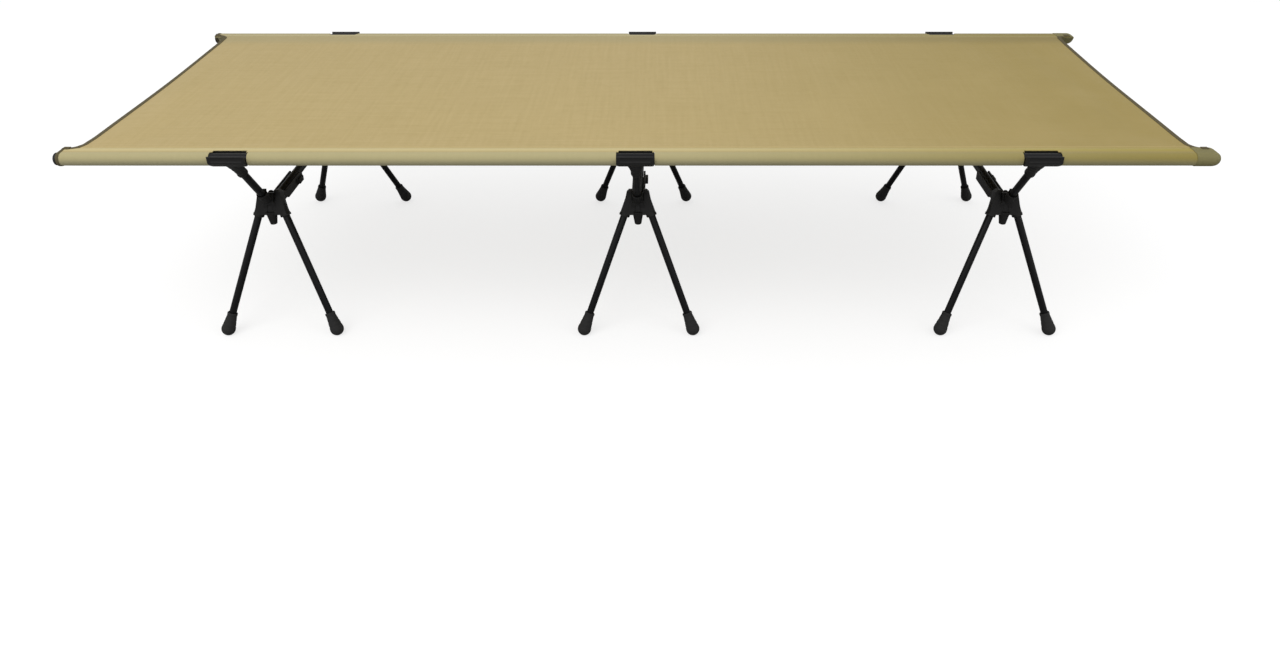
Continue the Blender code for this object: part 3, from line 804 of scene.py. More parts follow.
def bed_surface(cloth):
    """The middle layer of the bed as a grid of the flat pattern, with the clip windows left out."""
    half_marks = [0, ALLOWANCE, window_start(), ALLOWANCE + SLOPE, TOP_START]
    half_marks += [
        TOP_START + a for a in (WINDOW_STEP, WINDOW_TOP, SEAM_A, SEAM_EDGE, SEAM_EDGE + FLARE)
    ]
    front = stations(half_marks, 0.0031) + stations([half_marks[-1], FLAT_WIDTH / 2], 0.0125)[1:]
    runs = front + [FLAT_WIDTH - run for run in reversed(front[:-1])]
    row_marks = [-SLEEVE_END]
    for clip_x in SETS.values():
        row_marks += [clip_x + a for a in (-WINDOW_HALF, WINDOW_INSET - WINDOW_HALF)]
        row_marks += [clip_x + a for a in (WINDOW_HALF - WINDOW_INSET, WINDOW_HALF)]
    rows = stations([*row_marks, SLEEVE_END], 0.0095)
    points = []
    flat = []
    for row in rows:
        for run in runs:
            near = min(run, FLAT_WIDTH - run)
            x = bed_x(row, lie(near)[0])
            points.append(bed_point(x, run, cloth))
            flat.append((x, run))
    faces = []
    wide = len(runs)
    for i in range(len(rows) - 1):
        for j in range(wide - 1):
            if is_open((rows[i] + rows[i + 1]) / 2, (runs[j] + runs[j + 1]) / 2):
                continue
            corner = i * wide + j
            faces.append((corner, corner + wide, corner + wide + 1, corner + 1))
    return points, faces, flat


def map_flat(piece, flat):
    """The flat pattern's own coordinates, in metres, as the piece's UV map."""
    layer = piece.data.uv_layers.new(name="flat")
    for loop in piece.data.loops:
        layer.data[loop.index].uv = flat[loop.vertex_index]


def strip(name, sections, flat, thickness):
    """A tape through rows of points, with its flat map, made thick."""
    wide = len(sections[0])
    points = [point for section in sections for point in section]
    faces = []
    for i in range(len(sections) - 1):
        for j in range(wide - 1):
            corner = i * wide + j
            faces.append((corner, corner + 1, corner + wide + 1, corner + wide))
    tape = mesh_piece(name, points, faces)
    map_flat(tape, flat)
    modify(tape, "SOLIDIFY", thickness=thickness, offset=0.0, use_even_offset=True)
    return soften(tape, 40)


class COT_OT_bed_cloth(bpy.types.Operator):
    """Cuts the bed's cloth flat, lays it over both poles and thickens it."""

    bl_idname = "cot.bed_cloth"
    bl_label = "Bed cloth"

    def execute(self, context):
        cloth = context.scene.cot_cloth
        points, faces, flat = bed_surface(cloth)
        bed = mesh_piece("bed_cloth", points, faces)
        map_flat(bed, flat)
        modify(bed, "SOLIDIFY", thickness=cloth.thickness, offset=0.0, use_even_offset=True)
        soften(bed, 45)
        seams = (TOP_START + SEAM_A, FLAT_WIDTH - TOP_START - SEAM_A)
        finish = finish_once(bed_cloth_finish, "tan_bed_cloth", cloth, seams)
        stand_for(bed, "bed_fabric", finish)
        return {"FINISHED"}


def section_points(offset):
    """A sleeve's section as (inboard, up) points from seam to seam, pushed outwards."""
    runs = stations([ALLOWANCE, ALLOWANCE + SLOPE, TOP_START, TOP_START + SEAM_A], 0.0028)
    found = []
    nudge = 0.0004
    for run in runs:
        inboard, up = lie(run)
        way = (Vector(lie(run + nudge)) - Vector(lie(run - nudge))).normalized()
        found.append((inboard + way.y * -offset, up + way.x * offset))
    return runs, found


class COT_OT_sleeve_ends(bpy.types.Operator):
    """Binds the open mouths of the sleeves and closes their other ends with rounded pockets."""

    bl_idname = "cot.sleeve_ends"
    bl_label = "Sleeve ends"

    def execute(self, context):
        cloth = context.scene.cot_cloth
        for side, sign in SIDES.items():
            self.mouth(side, sign, cloth)
            self.pocket(side, sign, cloth)
        return {"FINISHED"}

    def mouth(self, side, sign, cloth):
        """A band of dark tape round the open end."""
        runs, ring = section_points(cloth.thickness / 2 + 0.0005)
        rows = (-SLEEVE_END - 0.0002, -SLEEVE_END + 0.002, -SLEEVE_END + 0.0045)
        sections = [
            [Vector((x, sign * (RAIL_Y - a), RAIL_Z + b)) for a, b in ring] for x in rows
        ]
        flat = [(x, run) for x in rows for run in runs]
        tape = strip(f"{side}_sleeve_mouth_binding", sections, flat, 0.0007)
        belongs(tape, "bed", dark_tape(cloth))

    def pocket(self, side, sign, cloth):
        """A sleeve of cloth over the closed end, which narrows in a dome to a flat patch."""
        runs, ring = section_points(cloth.thickness / 2 + 0.0005)
        middle = 0.0035
        rings = [(x, 1.0) for x in stations([HEM_X - 0.004, SLEEVE_END], 0.005)]
        dome = COT_END - SLEEVE_END + 0.0012
        for angle in (math.radians(12 * step) for step in range(1, 8)):
            rings.append((SLEEVE_END + dome * math.sin(angle), math.cos(angle) ** 0.8))
        points = []
        flat = []
        for x, grow in rings:
            for run, (inboard, up) in zip(runs, ring):
                y = sign * (RAIL_Y - (middle + (inboard - middle) * grow))
                points.append(Vector((x, y, RAIL_Z + up * grow)))
                flat.append((x, run))
        wide = len(runs)
        last = (len(rings) - 1) * wide
        faces = []
        for corner in range(0, last, wide):
            for j in range(wide):
                after = corner + (j + 1) % wide
                faces.append((corner + j, after, after + wide, corner + j + wide))
        faces.append(tuple(last + j for j in range(wide)))
        end = mesh_piece(f"{side}_sleeve_pocket_end", points, faces)
        map_flat(end, flat)
        bpy.context.view_layer.update()
        outward(end)
        modify(end, "SOLIDIFY", thickness=0.0007, offset=0.0, use_even_offset=True)
        soften(end, 60)
        finish = finish_once(tape_finish, "olive_pocket_cloth", tuple(cloth.pocket), 0.0008)
        belongs(end, "bed", finish)


class COT_OT_hems(bpy.types.Operator):
    """Folds a dark tape over the hem at each end of the bed, flares included."""

    bl_idname = "cot.hems"
    bl_label = "Hems"

    def execute(self, context):
        cloth = context.scene.cot_cloth
        for name, end in ENDS.items():
            self.bind(name, end, cloth)
        return {"FINISHED"}

    def bind(self, name, end, cloth):
        path = hem_path(end)
        reach = 0.0075
        gap = cloth.thickness / 2 + 0.00035
        fold = [(reach, gap), (reach * 0.6, gap), (0.0, gap), (-0.0007, gap * 0.6), (-0.0009, 0.0)]
        fold += [(across, -up) for across, up in reversed(fold[:-1])]
        sections = []
        flat = []
        length = 0.0
        for i, (spot, inward) in enumerate(path):
            if i:
                length += (spot - path[i - 1][0]).length
            section = []
            for j, (across, up) in enumerate(fold):
                x = spot.x + inward.x * across
                y = spot.y + inward.y * across
                lift = rise(x, y, cloth) + seam_relief(RAIL_Y - abs(y))
                section.append(Vector((x, y, RAIL_Z + SLEEVE_MID + lift + up)))
                flat.append((length, j * 0.0026))
            sections.append(section)
        tape = strip(f"{name}_hem_binding", sections, flat, 0.0005)
        outward(tape)
        belongs(tape, "bed", dark_tape(cloth))


def hem_path(end):
    """Points along one end's hem from front to back, each with the way into the cloth."""
    middle = SEAM_EDGE + FLARE
    half = []
    for step in range(11):
        angle = math.radians(90 + 9 * step)
        x = HEM_X + FLARE + FLARE * math.cos(angle)
        inboard = middle - FLARE * math.sin(angle)
        inward = Vector((math.cos(angle), -math.sin(angle), 0))
        half.append((Vector((x, inboard - RAIL_Y, 0)), inward))
    spread = stations([middle - RAIL_Y, RAIL_Y - middle], 0.012)[1:-1]
    straight = [(Vector((HEM_X, y, 0)), Vector((-1, 0, 0))) for y in spread]
    back = [
        (Vector((spot.x, -spot.y, 0)), Vector((way.x, -way.y, 0))) for spot, way in reversed(half)
    ]
    return [
        (Vector((end * spot.x, spot.y, 0)), Vector((end * way.x, way.y, 0)))
        for spot, way in (*half, *straight, *back)
    ]


# Thread


def stitch_shape():
    """One stitch: a short thread that dips into the cloth at both ends."""
    half, tall, wide = 0.5, 0.5, 0.5
    points = [(-half, 0, -0.6)]
    for x, grow in ((-0.32, 0.9), (0.32, 0.9)):
        points += [(x, wide * grow, 0), (x, 0, tall * grow), (x, -wide * grow, 0), (x, 0, -tall)]
    points.append((half, 0, -0.6))
    faces = [(0, 1 + (i + 1) % 4, 1 + i) for i in range(4)]
    faces += [(1 + i, 1 + (i + 1) % 4, 5 + (i + 1) % 4, 5 + i) for i in range(4)]
    faces += [(9, 5 + i, 5 + (i + 1) % 4) for i in range(4)]
    return np.array(points), faces


def sew(name, lines, length, thick=0.00055):
    """Stitches along lines of (point, up) pairs, each line sampled closer than a stitch."""
    shape, shape_faces = stitch_shape()
    points = []
    faces = []
    for line in lines:
        spots = [np.array(spot) for spot, _ in line]
        ups = [np.array(up) for _, up in line]
        travel = [0.0]
        for before, after in zip(spots, spots[1:]):
            travel.append(travel[-1] + float(np.linalg.norm(after - before)))
        centres = np.arange(length / 2, travel[-1], length)
        for centre in centres:
            at = int(np.searchsorted(travel, centre)) - 1
            share = (centre - travel[at]) / max(1e-9, travel[at + 1] - travel[at])
            spot = spots[at] + (spots[at + 1] - spots[at]) * share
            way = spots[at + 1] - spots[at]
            way /= np.linalg.norm(way)
            up = ups[at] - way * float(ups[at] @ way)
            up /= np.linalg.norm(up)
            beside = np.cross(up, way)
            base = len(points) * len(shape)
            scale = (length * 0.86, thick, thick)
            points.append(
                spot
                + np.outer(shape[:, 0] * scale[0], way)
                + np.outer(shape[:, 1] * scale[1], beside)
                + np.outer(shape[:, 2] * scale[2], up)
            )
            faces += [tuple(base + i for i in face) for face in shape_faces]
    piece = mesh_piece(name, np.concatenate(points), faces)
    outward(piece)
    return soften(piece, 80)


class COT_OT_stitching(bpy.types.Operator):
    """Sews the sleeves with two rows of thread and the hems with one."""

    bl_idname = "cot.stitching"
    bl_label = "Stitching"

    def execute(self, context):
        cloth = context.scene.cot_cloth
        thread = finish_once(thread_finish, "pale_thread", cloth.thread)
        for side, sign in SIDES.items():
            lines = []
            for inboard in (SEAM_A - 0.0002, SEAM_A + SECOND_SEAM):
                end = end_of(inboard) - 0.010
                for face in (1, -1):
                    lines.append(self.seam(sign, inboard, end, face, cloth))
            belongs(sew(f"{side}_sleeve_stitching", lines, cloth.stitch), "bed", thread)
        for name, end in ENDS.items():
            line = self.hem_line(end, cloth)
            piece = sew(f"{name}_hem_stitching", [line], cloth.stitch)
            belongs(piece, "bed", dark_thread(cloth))
        return {"FINISHED"}

    def hem_line(self, end, cloth):
        """The line of thread that holds a hem's tape, a little way in from the cloth's edge."""
        inset = 0.0058
        tape = 0.0007
        line = []
        for spot, inward in hem_path(end):
            x = spot.x + inward.x * inset
            y = spot.y + inward.y * inset
            lift = rise(x, y, cloth) + seam_relief(RAIL_Y - abs(y)) + cloth.thickness / 2
            line.append(((x, y, RAIL_Z + SLEEVE_MID + lift + tape), (0, 0, 1)))
        return line

    def seam(self, sign, inboard, end, face, cloth):
        """A sleeve's line of thread, seen on the cloth's upper face (1) or under it (-1)."""
        line = []
        for x in stations([-end, end], 0.004):
            y = sign * (RAIL_Y - inboard)
            up = SLEEVE_MID + seam_relief(inboard) + rise(x, y, cloth) + cloth.thickness / 2
            if face < 0:
                up = SEAM_UNDER - cloth.thickness / 2
            line.append(((x, y, RAIL_Z + up + face * 0.00012), (0, 0, face)))
        return line


class COT_OT_corner_patches(bpy.types.Operator):
    """Sews a small dark patch over each corner where a hem runs out along its sleeve."""

    bl_idname = "cot.corner_patches"
    bl_label = "Corner patches"

    def execute(self, context):
        cloth = context.scene.cot_cloth
        for side, sign in SIDES.items():
            for name, end in ENDS.items():
                self.patch(f"{side}_{name}", sign, end, cloth)
                self.tacks(f"{side}_{name}", sign, end, cloth)
        return {"FINISHED"}

    def patch(self, corner, sign, end, cloth):
        first_x = SLEEVE_END - 0.0115
        sections = []
        flat = []
        for x in (first_x + 0.0022 * step for step in range(6)):
            row = []
            for inboard in (0.0125 + 0.0018 * step for step in range(6)):
                lift = seam_relief(inboard) + cloth.thickness / 2 + 0.0012
                level = RAIL_Z + SLEEVE_MID + lift
                row.append(Vector((end * x, sign * (RAIL_Y - inboard), level)))
                flat.append((x, inboard))
            sections.append(row)
        piece = strip(f"{corner}_corner_patch", sections, flat, 0.0007)
        belongs(piece, "bed", dark_tape(cloth))

    def tacks(self, corner, sign, end, cloth):
        spots = [SLEEVE_END - 0.0108 + 0.0012 * step for step in range(9)]
        level = RAIL_Z + SLEEVE_MID + cloth.thickness / 2 + 0.0017
        lines = []
        for inboard in (0.0135, 0.0205):
            y = sign * (RAIL_Y - inboard)
            lines.append([((end * x, y, level), (0, 0, 1)) for x in spots])
        piece = sew(f"{corner}_bar_tack", lines, 0.0016)
        belongs(piece, "bed", dark_thread(cloth))


# Poles, arms and legs


def tube(name, start, end, radius, wall=0.0012, bore=0.012):
    """A smooth tube with an open, slightly rounded bore at both ends."""
    pipe = rod(name, start, end, radius, sides=32)
    way = (end - start).normalized()
    edit(pipe, faces=lambda face: abs(face.normal.dot(way)) > 0.9)
    bpy.ops.mesh.inset(thickness=wall, use_individual=True)
    bpy.ops.mesh.extrude_faces_move(
        MESH_OT_extrude_faces_indiv={}, TRANSFORM_OT_shrink_fatten={"value": -bore}
    )
    deselect()
    sharp = math.radians(50)
    modify(pipe, "BEVEL", width=0.0003, segments=2, limit_method="ANGLE", angle_limit=sharp)
    return soften(pipe, 35)


class COT_OT_side_poles(bpy.types.Operator):
    """Turns the three sections of each side pole and the cap at the open sleeve mouth."""

    bl_idname = "cot.side_poles"
    bl_label = "Side poles"

    def execute(self, context):
        hardware = context.scene.cot_hardware
        black = finish_once(anodised_finish, "black_anodised", hardware.tube)
        nylon = finish_once(nylon_finish, "black_nylon", hardware.moulding)
        pole_start = 0.0005 - SLEEVE_END
        cap_start = 0.0002 - SLEEVE_END
        for side, sign in SIDES.items():
            for name in SETS:
                node = f"{side}_pole_{name}_tube"
                low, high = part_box(node)
                first = max(low[0], pole_start)
                start = Vector((first, sign * RAIL_Y, RAIL_Z))
                profile = self.section(high[0] - first, has_spigot=name != "right")
                piece = turned(f"{side}_side_pole_{name}", profile, along(start, Vector((1, 0, 0))))
                soften(piece, 35)
                stand_for(piece, node, black)
            seat = Vector((cap_start, sign * RAIL_Y, RAIL_Z))
            profile = [(0.0076, -0.015), (0.0080, -0.0144), (0.0080, 0), (0.0102, 0), (0.0105, 0.0004)]
            profile += [(0.0105, 0.0038), (0.0101, 0.0052), (0.0090, 0.0061), (0.0074, 0.0065)]
            profile += [(0.0048, 0.0066), (0.0042, 0.0060), (0.0010, 0.0059)]
            cap = turned(f"{side}_pole_cap", profile, along(seat, Vector((-1, 0, 0))))
            soften(cap, 40)
            stand_for(cap, f"{side}_pole_end_cap", nylon)
        return {"FINISHED"}

    def section(self, length, has_spigot):
        """A pole section's outline from its bore to its far end, with or without a drawn-down spigot."""
        neck = SPIGOT_LENGTH if has_spigot else 0.0
        shoulder = length - neck
        bevel = 0.0003
        rim = POLE_RADIUS - bevel
        profile = [(SPIGOT_RADIUS, 0.010), (SPIGOT_RADIUS, 0.0), (rim, 0.0), (POLE_RADIUS, bevel)]
        profile += [(POLE_RADIUS, shoulder - bevel), (rim, shoulder)]
        if not has_spigot:
            return profile + [(0.0083, shoulder), (0.0083, shoulder - 0.012)]
        end = shoulder + neck
        profile += [(SPIGOT_RADIUS, shoulder), (SPIGOT_RADIUS, end - 0.0006), (0.0074, end)]
        return profile + [(0.0066, end), (0.0066, end - 0.012)]


def leg_root(lean):
    return HUB + Vector((lean * LEG_ROOT_X, 0, 0))


def leg_run(lean):
    return Vector((lean * FOOT_X, FOOT_Y, FOOT_Z)) - leg_root(lean)


class COT_OT_tubes(bpy.types.Operator):
    """Makes the cross poles, the arms and the twelve plug-in legs."""

    bl_idname = "cot.tubes"
    bl_label = "Cross poles, arms and legs"

    def execute(self, context):
        black = finish_once(anodised_finish, "black_anodised", context.scene.cot_hardware.tube)
        cross_end = Vector((0, CROSS_PAST - HUB_Y, HUB_Z))
        cross = tube("cross_pole", HUB - Vector((0, CROSS_PAST, 0)), cross_end, CROSS_RADIUS)
        arm = tube("arm", HUB + ARM_WAY * ARM_START, RAIL - ARM_WAY * ARM_END, ARM_RADIUS)
        legs = {}
        for number, lean in LEGS.items():
            way = leg_run(lean).normalized()
            start = leg_root(lean) - way * LEG_PAST
            end = leg_root(lean) + leg_run(lean) - way * LEG_SHORT
            legs[number] = tube(f"leg_{number}", start, end, LEG_RADIUS, wall=0.0010)
        for set_name, set_x in SETS.items():
            piece = copy_of(cross, f"{set_name}_cross_tube", set_place(set_x))
            stand_for(piece, f"{set_name}_cross_pole", black)
            for side, turn in TURNS.items():
                place = set_place(set_x, turn)
                piece = copy_of(arm, f"{set_name}_{side}_arm_tube", place)
                stand_for(piece, f"{set_name}_{side}_arm", black)
                for number in LEGS:
                    piece = copy_of(legs[number], f"{set_name}_{side}_leg_tube_{number}", place)
                    stand_for(piece, f"{set_name}_{side}_leg_{number}", black)
        for pattern in (cross, arm, *legs.values()):
            bpy.data.objects.remove(pattern)
        return {"FINISHED"}


class COT_OT_feet(bpy.types.Operator):
    """Turns one rubber foot for each lean, cuts it level with the floor and copies it to every leg."""

    bl_idname = "cot.feet"
    bl_label = "Feet"

    def execute(self, context):
        rubber = finish_once(rubber_finish, "black_rubber", context.scene.cot_hardware.rubber)
        ball = 0.0124
        angles = [math.radians(a) for a in range(10, 100, 11)]
        tip = [(ball * math.sin(angle), -ball * math.cos(angle)) for angle in angles]
        profile = [(0.0004, -ball), *tip, (0.0121, 0.0026), (0.0117, 0.0056), (0.0112, 0.0060)]
        profile += [(0.0109, 0.0082), (0.0112, 0.0086), (0.0103, 0.0150), (0.0098, 0.0154)]
        profile += [(0.0096, 0.0172), (0.0099, 0.0176), (0.0087, 0.0262), (0.0086, 0.0285)]
        profile += [(0.0090, 0.0292), (0.0090, 0.0318), (0.0085, 0.0328), (0.0074, 0.0330)]
        profile += [(0.0067, 0.0324), (0.0067, 0.0085)]
        # The floor cuts the ball right at its end disc, so that the cut has to be a fine one.
        nearly_on_floor = 0.000001
        feet = {}
        for number, lean in LEGS.items():
            place = along(leg_root(lean) + leg_run(lean), -leg_run(lean).normalized())
            foot = turned(f"foot_{number}", profile, place, 32)
            edit(foot, faces=lambda face: True)
            bpy.ops.mesh.bisect(
                plane_co=(0, 0, 0),
                plane_no=(0, 0, -1),
                use_fill=True,
                clear_outer=True,
                threshold=nearly_on_floor,
            )
            outward(foot)
            feet[number] = soften(foot, 35)
        for set_name, set_x in SETS.items():
            for side, turn in TURNS.items():
                for number in LEGS:
                    name = f"{set_name}_{side}_rubber_foot_{number}"
                    piece = copy_of(feet[number], name, set_place(set_x, turn))
                    stand_for(piece, f"{set_name}_{side}_foot_{number}", rubber)
        for pattern in feet.values():
            bpy.data.objects.remove(pattern)
        return {"FINISHED"}


# Mouldings


def plate_place():
    """The hub plate's plane holds both legs, so it leans outboard going down."""
    run = leg_run(1)
    tilt = math.atan2(-run.y, -run.z)
    return Matrix.Translation(HUB) @ Matrix.Rotation(math.pi / 2 - tilt, 4, "X")


def mirrored(half):
    return half + [(-across, up) for across, up in reversed(half)]


def arm_hole():
    start = HUB + ARM_WAY * (ARM_START - END_GAP)
    return rod("arm_hole", start, HUB + ARM_WAY * 0.09, ARM_RADIUS + SIDE_GAP, sides=24)


def arm_socket(start):
    """The socket that an arm plugs into, with a thicker rim."""
    return [
        rod("arm_socket", HUB + ARM_WAY * start, HUB + ARM_WAY * 0.0455, 0.0088),
        rod("arm_socket_rim", HUB + ARM_WAY * 0.0418, HUB + ARM_WAY * 0.0462, 0.0093),
    ]


def hub_moulding(side, voxel):
    outline = mirrored([(0.029, -0.018), (0.0240, 0.005), (0.020, 0.0237), (0.0160, 0.0275)])
    plate = slab(f"{side}_hub_pattern", outline, PLATE_DEPTH, plate_place())
    inboard = COLLAR_REACH if side == "front" else 0.038
    stub = HUB - Vector((0, 0.006, 0))
    joins = [
        rod("collar", HUB - Vector((0, 0.0095, 0)), HUB + Vector((0, inboard, 0)), 0.012),
        rod("stub", stub - Vector((0, 0, 0.009)), stub - Vector((0, 0, 0.035)), 0.0105, 0.0060),
    ]
    cross_end = HUB - Vector((0, CROSS_PAST + END_GAP, 0))
    cross_room = CROSS_RADIUS + SIDE_GAP
    cuts = [rod("cross_hole", cross_end, HUB + Vector((0, 0.08, 0)), cross_room)]
    leg_room = LEG_RADIUS + SIDE_GAP
    for lean in LEGS.values():
        root = leg_root(lean)
        way = leg_run(lean).normalized()
        joins.append(rod("socket", root - way * 0.018, root + way * 0.0212, 0.0088))
        joins.append(rod("socket_rim", root + way * 0.0172, root + way * 0.0217, 0.0096))
        leg_end = root - way * (LEG_PAST + END_GAP)
        cuts.append(rod("leg_hole", leg_end, root + way * 0.05, leg_room, sides=24))
    dish = [(-0.0060, -0.014), (0.0060, -0.014), (0.0032, 0.0035), (-0.0032, 0.0035)]
    faces = (-1, 1) if side == "front" else (1,)
    for face in faces:
        there = plate_place() @ Matrix.Translation((0, 0, face * PLATE_DEPTH / 2))
        cuts.append(slab("hollow", dish, 0.0024, there))
    if side == "front":
        middle = HUB + Vector((0, 0, NOTCH_FLOOR + NOTCH_TALL / 2))
        cuts.append(block("notch", (NOTCH_WIDTH, 0.068, NOTCH_TALL), Matrix.Translation(middle)))
    else:
        joins += arm_socket(0.0)
        cuts.append(arm_hole())
    return moulded(plate, joins, cuts, voxel, 9000)


def clip_moulding(voxel):
    """A cradle for the pole that leans outboard, on a stem that widens to it like a bell."""
    lean = math.radians(23)
    bore = 0.0098
    wall_top = -bore / math.cos(lean) - CLIP_TOP * math.tan(lean)
    outline = [
        (wall_top, CLIP_TOP), (-CLIP_FACE, CLIP_TOP), (-CLIP_FACE, -0.0010), (-0.0124, -0.0060),
        (-0.0062, -0.0107), (0, -0.0124), (0.0080, -0.0126), (0.0160, -0.0065), (0.0160, 0.0070),
        (0.0144, 0.0086), (0.0108, 0.0086), (0.0101, 0.0), (0, 0),
        (-bore * math.cos(lean), -bore * math.sin(lean)),
    ]
    clip = slab("clip_pattern", outline, 2 * CLIP_HALF, Matrix.Translation(RAIL) @ LENGTHWISE)
    down = -ARM_WAY
    joins = [
        rod("stem", RAIL + down * 0.002, RAIL + down * 0.0515, 0.0084),
        rod("stem_rim", RAIL + down * 0.0480, RAIL + down * 0.0522, 0.0092),
    ]
    bell = [(0.009, 0.0205), (0.015, 0.0172), (0.022, 0.0141), (0.030, 0.0115), (0.038, 0.0097)]
    bell += [(0.046, 0.0088), (0.049, 0.0083)]
    deep = 0.0085
    for (start, wide), (end, narrow) in zip(bell, bell[1:]):
        near = RAIL + down * start
        far = RAIL + down * (end + 0.0003)
        joins.append(rod("bell", near, far, wide, narrow, squash=deep / wide))
    reach = Vector((0.08, 0, 0))
    arm_top = RAIL + down * (ARM_END - END_GAP)
    face = Matrix.Translation(RAIL + Vector((0, -CLIP_FACE, 0.0046)))
    cuts = [
        rod("cradle", RAIL - reach, RAIL + reach, bore, sides=48),
        rod("arm_end_hole", arm_top, RAIL + down * 0.09, ARM_RADIUS + SIDE_GAP, sides=24),
        block("panel", (0.050, 0.0014, 0.0062), face),
    ]
    for end in (-1, 1):
        corner = Matrix.Translation(RAIL + Vector((end * (CLIP_HALF + 0.0012), -0.012, -0.0125)))
        turn = Matrix.Rotation(end * math.radians(-38), 4, "Y")
        cuts.append(block("corner", (0.010, 0.040, 0.008), corner @ turn))
    return moulded(clip, joins, cuts, voxel, 9000)


def lever_moulding(voxel):
    """A channel that straddles the cross pole, with a cranked neck up to the front arm's socket."""
    across = Vector((LEVER_WIDTH / 2, 0, 0))
    knuckle = rod("lever_pattern", PIVOT - across, PIVOT + across, 0.014)
    neck_run = Vector((0, -0.038, 0.017))
    lean = Matrix.Rotation(math.atan2(-neck_run.z, -neck_run.y), 4, "X")
    neck_place = Matrix.Translation(PIVOT + neck_run / 2) @ lean @ Matrix.Translation((0, 0, 0.001))
    neck = block("neck", (LEVER_WIDTH, neck_run.length, 0.018), neck_place)
    high = 0.005
    low = -0.0121
    handle_middle = PIVOT + Vector((0, LEVER_LENGTH / 2, (low + high) / 2))
    handle_size = (LEVER_WIDTH, LEVER_LENGTH, high - low)
    handle = block("handle", handle_size, Matrix.Translation(handle_middle))
    grip_spot = PIVOT + Vector((LEVER_WIDTH / 2, 0.088, low / 3))
    grip = block("grip", (0.010, 0.020, 0.010), Matrix.Translation(grip_spot))
    cuts = []
    for step in range(7):
        turn = Matrix.Rotation(math.radians(15 * step), 4, "X")
        ahead = Matrix.Translation((0, LEVER_LENGTH - PIVOT_REACH, 0))
        place = Matrix.Translation(PIVOT) @ turn @ ahead
        cuts.append(block("pole_room", (0.0168, 0.270, 0.0168), place))
    waist = Matrix.Translation(PIVOT + Vector((0, 0.006, -0.0176)))
    cuts.append(block("waist", (0.060, 0.040, 0.020), waist))
    room = 0.060
    collar_end = COLLAR_REACH + LEVER_PLAY - room / 2
    collar_top = NOTCH_FLOOR + LEVER_PLAY - room / 2
    under = Matrix.Translation(HUB + Vector((0, collar_end, collar_top)))
    cuts.append(block("collar_room", (room, room, room), under))
    for side in (-1, 1):
        shift = side * (NOTCH_WIDTH / 2 - 0.0005 + room / 2)
        beside = plate_place() @ Matrix.Translation((shift, 0, 0.0208))
        cuts.append(block("horn_room", (room, 2 * room, room), beside))
    for notch in range(4):
        spot = PIVOT + Vector((0, PIVOT_REACH + 0.012 * notch, low - 0.0004))
        cuts.append(block("finger_groove", (0.016, 0.0042, 0.0022), Matrix.Translation(spot)))
    cuts += [arm_hole(), rod("pin_hole", PIVOT - 2 * across, PIVOT + 2 * across, 0.0027, sides=24)]
    return moulded(knuckle, [neck, handle, grip, *arm_socket(0.020)], cuts, voxel, 9000)


def rivet():
    """The lever's hinge pin: a shaft between two rounded heads."""
    head = 0.002
    length = LEVER_WIDTH + LEVER_PLAY + 2 * head
    dome = [(0.0034, 0), (0.0043, 0.0004), (0.0045, 0.0010), (0.0045, head), (0.0025, head)]
    profile = dome + [(wide, length - up) for wide, up in reversed(dome)]
    start = PIVOT - Vector((length / 2, 0, 0))
    return soften(turned("pin_pattern", profile, along(start, Vector((1, 0, 0))), 24), 40)


class COT_OT_mouldings(bpy.types.Operator):
    """Models one clip, one tension lever and both kinds of hub, and copies them to every leg set."""

    bl_idname = "cot.mouldings"
    bl_label = "Clips, hubs and levers"

    def execute(self, context):
        hardware = context.scene.cot_hardware
        nylon = finish_once(nylon_finish, "black_nylon", hardware.moulding)
        steel = finish_once(steel_finish, "dark_steel_pin", hardware.steel)
        voxel = hardware.grain * 1
        clip = clip_moulding(voxel)
        lever = lever_moulding(voxel)
        hubs = {side: hub_moulding(side, voxel) for side in SIDES}
        pin = rivet()
        for set_name, set_x in SETS.items():
            here = set_place(set_x)
            piece = copy_of(lever, f"{set_name}_lever_handle", here)
            stand_for(piece, f"{set_name}_tension_lever", nylon)
            piece = copy_of(pin, f"{set_name}_lever_rivet", here)
            stand_for(piece, f"{set_name}_hinge_pin", steel)
            for side, turn in TURNS.items():
                place = set_place(set_x, turn)
                piece = copy_of(hubs[side], f"{set_name}_{side}_hub_body", place)
                stand_for(piece, f"{set_name}_{side}_hub", nylon)
                piece = copy_of(clip, f"{set_name}_{side}_rail_clip", place)
                stand_for(piece, f"{set_name}_{side}_clip", nylon)
        for pattern in (clip, lever, pin, *hubs.values()):
            bpy.data.objects.remove(pattern)
        return {"FINISHED"}


# Stage


def lamp(name, place, power, width, height):
    """A soft lamp that faces the middle of the cot."""
    data = bpy.data.lights.new(name, "AREA")
    data.energy = power
    data.shape = "RECTANGLE"
    data.size = width
    data.size_y = height
    light = bpy.data.objects.new(name, data)
    bpy.context.scene.collection.objects.link(light)
    light.location = place
    light.rotation_euler = (LAMP_AIM - Vector(place)).to_track_quat("-Z", "Y").to_euler()


